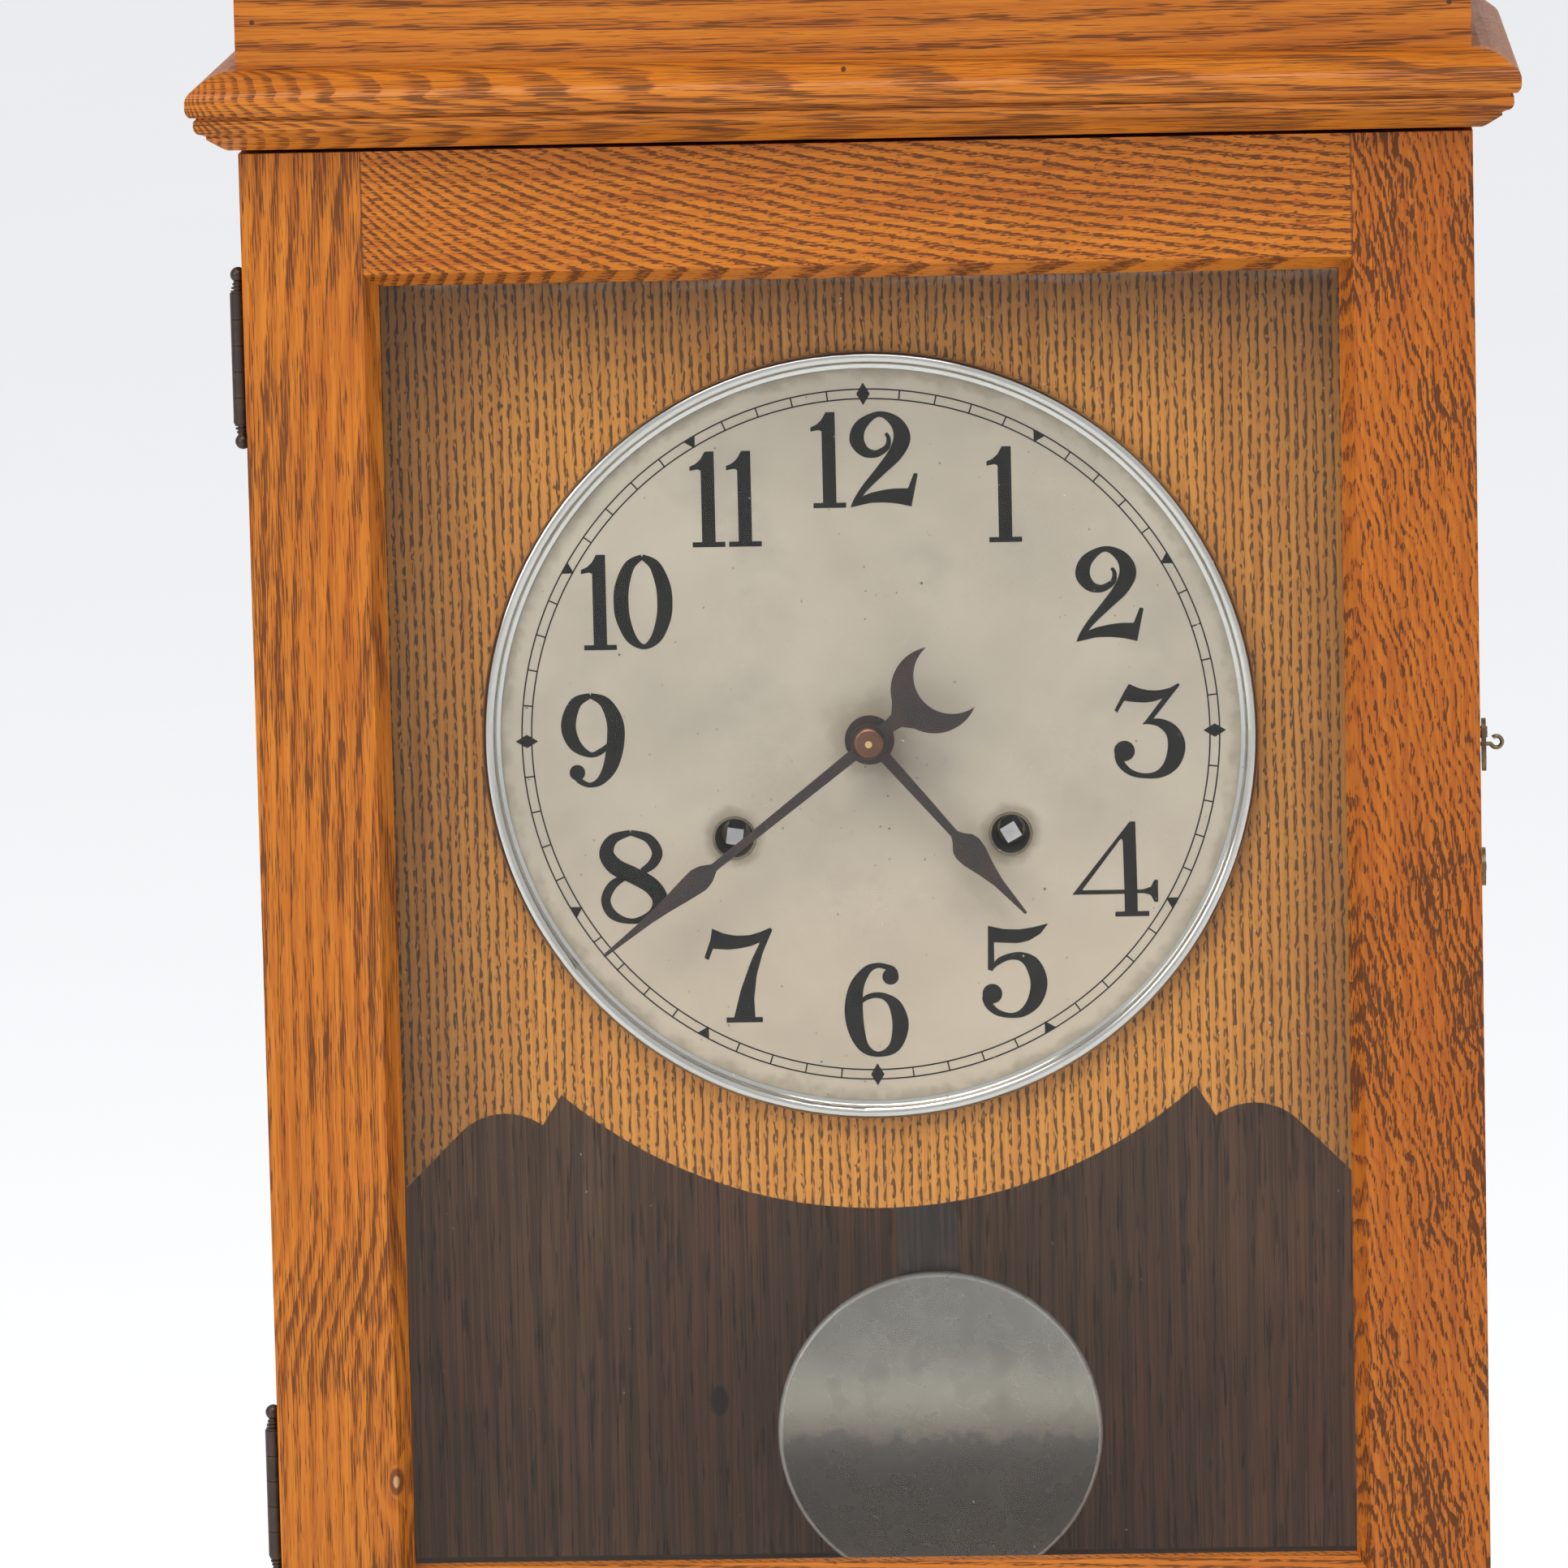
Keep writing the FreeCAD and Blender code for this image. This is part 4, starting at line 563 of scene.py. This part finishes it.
# Each numeral is drawn on a grid 100 high.  A stroke is a list of
# (x, y, half width); a shape is an outline; a dot is (x, y, radius).
NUMERALS = {
    "1": {
        "shapes": [
            [(7, 100), (7, 5.4), (17, 5.4), (17, 0), (-17, 0), (-17, 5.4), (-7, 5.4), (-7, 80),
             (-10, 81.5), (-18.5, 80), (-18.5, 84.5), (-12.5, 87), (-7, 92), (-2.5, 100)],
        ],
    },
    "2": {
        "strokes": [
            [(3, 77, 1.7), (6, 72, 2.2), (5, 64, 2.8), (0, 59, 3.4), (-9, 55.5, 4.0), (-20, 59, 5.8),
             (-27, 71, 7.6), (-22, 86, 6.2), (-4, 97, 2.9), (13, 89, 6.2), (20, 73, 8.8), (13, 56, 7.8),
             (-2, 39, 5.4), (-18, 22, 3.8), (-28, 9, 2.8), (-33.4, 1, 1.2)],
        ],
        "shapes": [
            [(-35, 0), (-28, 9.5), (-14, 15), (0, 18), (12, 19.4), (25, 19.2), (31.5, 35.2),
             (35.6, 34.2), (28.4, 0), (14, 3.4), (0, 4.8), (-14, 4.6)],
        ],
    },
    "3": {
        "shapes": [
            [(-20, 100), (-10, 95.5), (0, 93), (11, 92.6), (22, 95), (31.5, 100), (33, 98),
             (5.5, 63.5), (-6.5, 57), (14.5, 84), (6, 81.2), (-3, 80), (-13, 80.6), (-25, 82.2),
             (-32.5, 70.2), (-35.5, 72.2), (-25, 92)],
        ],
        "strokes": [
            [(-6, 57.5, 0.6), (0, 59.6, 2.4), (12, 58.4, 4.6), (24, 49.5, 7.2), (28.6, 34, 9.2),
             (23.5, 16.5, 8.0), (11.5, 5.6, 4.6), (-3.5, 3.0, 2.7), (-19, 6.6, 3.2), (-29, 15.6, 4.0),
             (-32.6, 25.5, 4.0)],
        ],
        "dots": [(-25.7, 29.6, 10.8)],
    },
    "4": {
        "shapes": [
            [(17, 100), (23, 100), (24, 29), (10.4, 29), (9.5, 80), (7.5, 82), (-33.5, 28.3),
             (-44, 23.6)],
            [(-44, 23.6), (-33.5, 28.3), (30, 28.3), (38, 31), (41.8, 38.2), (45.5, 38.2),
             (45.5, 14.8), (41.5, 14.8), (38, 22), (31, 24.2), (24, 24.2), (10.4, 23.8)],
            [(10.4, 29), (24, 29), (24, 5.4), (36, 5.4), (36, 0), (0.5, 0), (0.5, 5), (10.4, 5.4)],
        ],
    },
    "5": {
        "shapes": [
            [(-26.5, 98.4), (-10, 94.6), (6, 94), (20, 96), (36.6, 100), (28, 89), (16, 82),
             (4, 79.4), (-20.5, 80.6), (-20.5, 60), (-22, 50.2), (-27.5, 51.8)],
        ],
        "strokes": [
            [(-22.5, 53, 1.0), (-16, 60.4, 3.2), (-5, 65.2, 3.4), (8, 65, 5.0), (19.6, 56.4, 8.0),
             (25.6, 38, 8.9), (21, 19, 7.6), (9.5, 6.6, 4.6), (-3.5, 3.0, 2.7), (-18, 6.4, 3.4),
             (-27, 14.6, 4.2), (-31, 24, 3.6)],
        ],
        "dots": [(-23.2, 26.4, 10.4)],
    },
    "6": {
        "strokes": [
            [(21, 88, 3.2), (17.5, 92.6, 3.4), (11, 95.4, 3.0), (2, 97, 2.8), (-9, 92, 4.6),
             (-20, 75, 7.6), (-23.6, 51, 9.6), (-21, 28, 8.6), (-13, 9.6, 5.4), (2, 2.8, 2.8),
             (18.4, 11, 6.2), (25, 33, 8.6), (20.5, 53, 7.0), (11, 62.8, 4.0), (0, 65.6, 3.0),
             (-10, 63, 2.7), (-17, 57, 1.4)],
        ],
        "dots": [(15.6, 85, 8.6)],
    },
    "7": {
        "shapes": [
            [(-25, 100), (-13, 94.6), (0, 92), (14, 92.4), (25, 95.6), (36, 100), (38, 97.4),
             (27.6, 74), (20.6, 50), (17.5, 25), (18.2, 5.6), (26, 5.6), (26, 0), (-12, 0),
             (-12, 5.6), (-4, 5.6), (3.4, 34), (15, 65), (24.6, 84.6), (16, 81), (4, 78.6),
             (-8, 77.4), (-24.4, 78.6), (-29.2, 66.6), (-33.8, 69), (-27, 88)],
        ],
    },
    "8": {
        "strokes": [
            [(-1.6, 96.8, 3.0), (-20, 90.4, 5.4), (-27.2, 75.6, 7.8), (-18.6, 61.4, 8.8),
             (0.6, 51.4, 8.8), (18.6, 40.4, 8.8), (27.2, 26, 8.2), (20.6, 10.6, 6.0),
             (-1.6, 3.2, 2.9), (-21.6, 9.8, 4.8), (-29.2, 25.4, 5.0), (-22, 41.4, 4.8),
             (-8.6, 50, 3.2)],
            [(-1.6, 96.8, 3.0), (16.6, 90.6, 4.8), (25.6, 76.4, 5.6), (21, 64, 5.0),
             (9.4, 55.4, 3.6)],
        ],
    },
    "9": {
        "strokes": [
            [(-1, 97.2, 2.8), (-17, 89, 6.2), (-24.8, 66, 7.8), (-18.4, 45.6, 6.6), (-3, 35, 3.0),
             (9, 38.6, 3.2), (16.6, 46, 1.6)],
            [(-1, 97.2, 2.8), (14, 89.6, 6.0), (23.6, 70, 8.6), (24, 48, 9.2), (18.6, 24, 7.8),
             (8.6, 8.4, 4.8), (-3, 3.0, 2.7), (-13.6, 7, 3.2), (-18.6, 14, 3.2)],
        ],
        "dots": [(-16.6, 16.2, 8.2)],
    },
    "0": {
        "strokes": [
            [(0, 97.2, 2.8), (-13, 88, 5.6), (-21, 68, 7.4), (-22.8, 50, 7.8), (-21, 32, 7.4),
             (-13, 12, 5.6), (0, 2.8, 2.8), (13, 12, 5.8), (21, 32, 7.6), (22.8, 50, 8.0),
             (21, 68, 7.6), (13, 88, 5.8), (0, 97.2, 2.8)],
        ],
    },
}
HOURS = (
    (1, (("1", 0.0),)), (2, (("2", 0.0),)), (3, (("3", 0.0),)), (4, (("4", 0.0),)), (5, (("5", 0.0),)),
    (6, (("6", 0.0),)), (7, (("7", 0.0),)), (8, (("8", 0.0),)), (9, (("9", 0.0),)),
    (10, (("1", -10.6), ("0", 6.6))), (11, (("1", -7.0), ("1", 7.4))), (12, (("1", -14.0), ("2", 7.4))),
)
NUMERAL_H = 0.0380
NUMERAL_R = 0.1100
LAYER = 0.00001  # shapes that cross lie this far apart


def draw_numeral(flat, glyph, x, z, first_lift):
    unit = NUMERAL_H / 100.0
    lift = first_lift
    for outline in NUMERALS[glyph].get("shapes", ()):
        flat.polygon([(x + px * unit, z + (py - 50) * unit) for px, py in outline], lift)
        lift += LAYER
    for stroke in NUMERALS[glyph].get("strokes", ()):
        line = smooth(stroke)
        left, right = [], []
        for k, (px, py, half) in enumerate(line):
            ax, ay = line[max(k - 1, 0)][:2]
            bx, by = line[min(k + 1, len(line) - 1)][:2]
            size = math.hypot(bx - ax, by - ay) or 1.0
            nx, ny = -(by - ay) / size * half, (bx - ax) / size * half
            left.append((x + (px + nx) * unit, z + (py + ny - 50) * unit))
            right.append((x + (px - nx) * unit, z + (py - ny - 50) * unit))
        flat.strip(left, right, lift)
        lift += LAYER
    for px, py, radius in NUMERALS[glyph].get("dots", ()):
        flat.disc(x + px * unit, z + (py - 50) * unit, radius * unit, lift)
        lift += LAYER


def make_dial_print(material):
    y = DIAL.y - 0.00006
    numbers = Flat(y)
    for hour, glyphs in HOURS:
        turn = math.radians(30.0 * hour)
        for glyph, shift in glyphs:
            at_x = NUMERAL_R * math.sin(turn) + shift * MM
            draw_numeral(numbers, glyph, at_x, NUMERAL_R * math.cos(turn), 0.0)
    piece("dial_numbers", numbers.vertices, numbers.faces, material, "case")

    track = Flat(y)
    line = 0.00029  # half the width of a printed line
    mark = 0.0027  # half the width of a five minute mark
    middle = (TRACK_INNER + TRACK_OUTER) / 2
    for radius in (TRACK_INNER, TRACK_OUTER):
        track.ring(radius - line, radius + line)
    for minute in range(60):
        turn = math.radians(6.0 * minute)
        s, c = math.sin(turn), math.cos(turn)

        def at(radial, side):
            return (radial * s + side * c, radial * c - side * s)

        if minute % 15 == 0:
            corners = ((middle - 0.0045, 0), (middle, mark), (middle + 0.0045, 0), (middle, -mark))
        elif minute % 5 == 0:
            corners = ((middle + 0.0020, mark), (middle + 0.0020, -mark), (middle - 0.0025, 0))
        else:
            corners = ((TRACK_INNER, line), (TRACK_INNER, -line), (TRACK_OUTER, -line), (TRACK_OUTER, line))
        track.polygon([at(radial, side) for radial, side in corners], LAYER)
    piece("dial_minute_ring", track.vertices, track.faces, material, "case")


# ---------------------------------------------------------------- stage
def make_stage():
    scene = bpy.context.scene
    scene.view_settings.view_transform = "Standard"
    size = 150.0
    data = bpy.data.meshes.new("floor")
    corners = [(-size, -size, 0), (size, -size, 0), (size, size, 0), (-size, size, 0)]
    data.from_pydata(corners, [], [(0, 1, 2, 3)])
    g = Graph("pale_floor")
    tone = g.mix(g.noise(g.place(), 3.0, 4.0), (0.915, 0.918, 0.925), (0.935, 0.938, 0.945))
    g.principled(Base_Color=tone, Roughness=0.9, Emission_Color=(0.97, 0.98, 1.0), Emission_Strength=0.10)
    data.materials.append(g.material)
    floor = bpy.data.objects.new("floor", data)
    scene.collection.objects.link(floor)

    world = bpy.data.worlds.new("studio")
    world.use_nodes = True
    scene.world = world
    back = world.node_tree.nodes["Background"]
    back.inputs[0].default_value = (0.97, 0.98, 1.0, 1.0)
    back.inputs[1].default_value = 0.80

    def lamp(name, place, target, width, height, power, colour):
        light = bpy.data.lights.new(name, "AREA")
        light.shape = "RECTANGLE"
        light.size, light.size_y = width, height
        light.energy = power
        light.color = colour
        made = bpy.data.objects.new(name, light)
        scene.collection.objects.link(made)
        made.location = place
        made.rotation_euler = (Vector(target) - Vector(place)).to_track_quat("-Z", "Y").to_euler()
        return made

    lamp("soft_top", (-0.6, -2.4, 4.6), (0, 0, 0.8), 3.2, 2.4, 118.0, (1.0, 0.985, 0.965))
    lamp("soft_left", (-3.4, -2.8, 2.2), (0, 0, 0.8), 2.0, 2.0, 36.0, (1.0, 0.985, 0.965))


# ---------------------------------------------------------------- making
make_camera()
make_stage()

paint(oak("oak_frieze", "X", 3.1, figure=arched(1.135, -0.05, 0.16), ring=0.0095, wave=0.006,
          waves=(16.0, 4.0), dash=(1700.0, 48.0), cover=(0.64, 0.49), rays=0.45,
          nails=((-0.2326, 1.062), (0.231, 1.061))),
      "frieze_board")
paint(oak("oak_cornice", "X", 5.7, figure=feathered(1.0335, -0.262, 0.013), ring=0.0030, wave=0.0024,
          waves=(34.0, 8.0), dash=(2100.0, 46.0), cover=(0.59, 0.46),
          nails=((-0.003, 1.0405),)), "cornice_moulding")
paint(oak("oak_cap", "X", 8.3, figure=leaning(0.02), ring=0.006, wave=0.003, dash=(1500.0, 48.0),
          cover=(0.64, 0.48)), "top_cap")
paint(oak("oak_rail_top", "X", 1.9, figure=swept(-0.2415, 0.049), ring=0.0042, wave=0.0018,
          waves=(40.0, 22.0), dash=(1650.0, 260.0), cover=(0.63, 0.43), rays=0.7, clean=0.35, strength=0.84,
          joints=("x", RAIL_END, 0.0012)), "door_rail_top")
paint(oak("oak_rail_low", "X", 2.6, figure=leaning(0.05), ring=0.005, wave=0.001, dash=(1250.0, 160.0),
          cover=(0.68, 0.44), joints=("x", RAIL_END, 0.0012)), "door_rail_bottom")
paint(oak("oak_stile_left", "Z", 4.2, figure=arched(-0.178, 0.62, 0.10), ring=0.0058, wave=0.0018,
          waves=(24.0, 3.0), dash=(2300.0, 66.0), cover=(0.59, 0.48), patches=0.12, rays=0.30, strength=0.82,
          knot=(-0.193, 0.4824, 0.0075)), "door_stile_left")
paint(oak("oak_stile_right", "Z", 6.4, figure=leaning(0.26), ring=0.0038, wave=0.0055, waves=(80.0, 45.0),
          dash=(1500.0, 230.0), cover=(0.60, 0.43), patches=0.17, rays=0.35, clean=0.45, strength=0.90,
          light=OAK_DARKER, deep=(0.28, 0.060, 0.004)), "door_stile_right")
paint(oak("oak_side_left", "Z", 7.7, ring=0.0055, figure=leaning(0.01), wave=0.003, dash=(1500.0, 90.0),
          cover=(0.65, 0.45), clean=0.45), "case_side_left")
paint(oak("oak_side_right", "Z", 9.9, ring=0.0055, figure=leaning(-0.01), wave=0.003, dash=(1500.0, 90.0),
          cover=(0.65, 0.45), clean=0.45), "case_side_right")
paint(oak("oak_face", "Z", 10.4, figure=leaning(0.03), ring=0.005, wave=0.002, dash=(1400.0, 120.0),
          cover=(0.66, 0.45)), "recorder_face_frame")
paint(oak("oak_base", "X", 11.3, figure=leaning(0.03), ring=0.005, wave=0.002, dash=(1500.0, 80.0),
          cover=(0.64, 0.46)), "base_moulding")
# shade gives painted shade along the panel's sides and top
paint(oak("oak_panel", "Z", 12.8, figure=leaning(0.004), ring=0.0036, wave=0.0011, waves=(60.0, 22.0),
          dash=(1150.0, 280.0), cover=(0.68, 0.44), light=(0.56, 0.245, 0.040), deep=(0.38, 0.136, 0.015),
          pore=(0.055, 0.024, 0.009), rays=0.15, clean=0.20, strength=0.88,
          shade=(0.190, 0.962)), "dial_panel")
paint(oak("oak_beads", "Z", 13.1, dash=(680.0, 80.0), cover=(0.70, 0.50)), "glazing_beads")
paint(plain_wood("back_boards", "Z", 1.0, (0.52, 0.290, 0.138), (0.16, 0.092, 0.050),
                 red=(0.54, 0.180, 0.075), knot=(-0.077, 0.457, 0.0048)), "back_board")
paint(plain_wood("shelf_boards", "X", 4.0, (0.25, 0.14, 0.07), (0.14, 0.075, 0.035)), "shelf_board",
      "bottom_board")
paint(window_glass(), "door_glass")
paint(dial_paint(), "dial_plate")
paint(metal("bright_nickel", (0.56, 0.555, 0.53), 0.10, (0.40, 0.38, 0.33), 0.25, 24.0, bump=0.0,
            uneven=0.04), "dial_bezel")
paint(metal("throat_nickel", (0.62, 0.61, 0.58), 0.24, (0.46, 0.43, 0.38), 0.25, 30.0, bump=0.02,
            uneven=0.10), "card_throat", "bell",
      "carriage_rods")
paint(metal("blued_steel", (0.036, 0.029, 0.028), 0.38, (0.060, 0.036, 0.030), 0.7, 90.0, metallic=0.6),
      "hour_hand", "minute_hand")
paint(metal("browned_brass", (0.17, 0.085, 0.055), 0.36, (0.09, 0.05, 0.035), 0.5, 200.0), "hand_nut")
paint(metal("dark_brass", (0.062, 0.050, 0.045), 0.36, (0.110, 0.075, 0.055), 0.6, 120.0),
      "hinge_leaves_case", "hinge_leaves_door", "hinge_pins")
paint(metal("dull_brass", (0.20, 0.165, 0.11), 0.36, (0.10, 0.08, 0.05), 0.5, 50.0), "winding_collets")
paint(metal("aged_brass", (0.24, 0.19, 0.12), 0.36, (0.10, 0.08, 0.06), 0.6, 150.0), "side_brasses",
      "keyhole_cover")
paint(metal("clock_brass", (0.72, 0.52, 0.22), 0.30, (0.42, 0.30, 0.13), 0.35, 35.0, brushed=0.4),
      "movement_front_plate", "movement_back_plate", "great_wheel_left", "great_wheel_right", "centre_arbor",
      "hour_wheel", "minute_wheel", "third_wheel", "escape_wheel")
paint(metal("machined_steel", (0.50, 0.50, 0.50), 0.32, (0.30, 0.28, 0.26), 0.3, 60.0, brushed=0.3),
      "movement_pillars", "winding_arbor_left", "winding_arbor_right", "mainsprings", "verge",
      "type_wheel_minute", "type_wheel_hour", "hammer", "punch_lever", "lever_return_spring", "bell_hammer",
      "trip_rod", "ribbon_spool_left", "ribbon_spool_right")
paint(bob_metal(), "pendulum_bob")
paint(stained_wood("stained_wood"), "pendulum_rod", "lever_knob")
paint(enamel("japanned_iron", (0.0085, 0.0075, 0.0070), 0.33), "recorder_frame", "recorder_cover")
paint(cloth("ribbon_cloth"), "ribbon")

make_dial_print(ink())
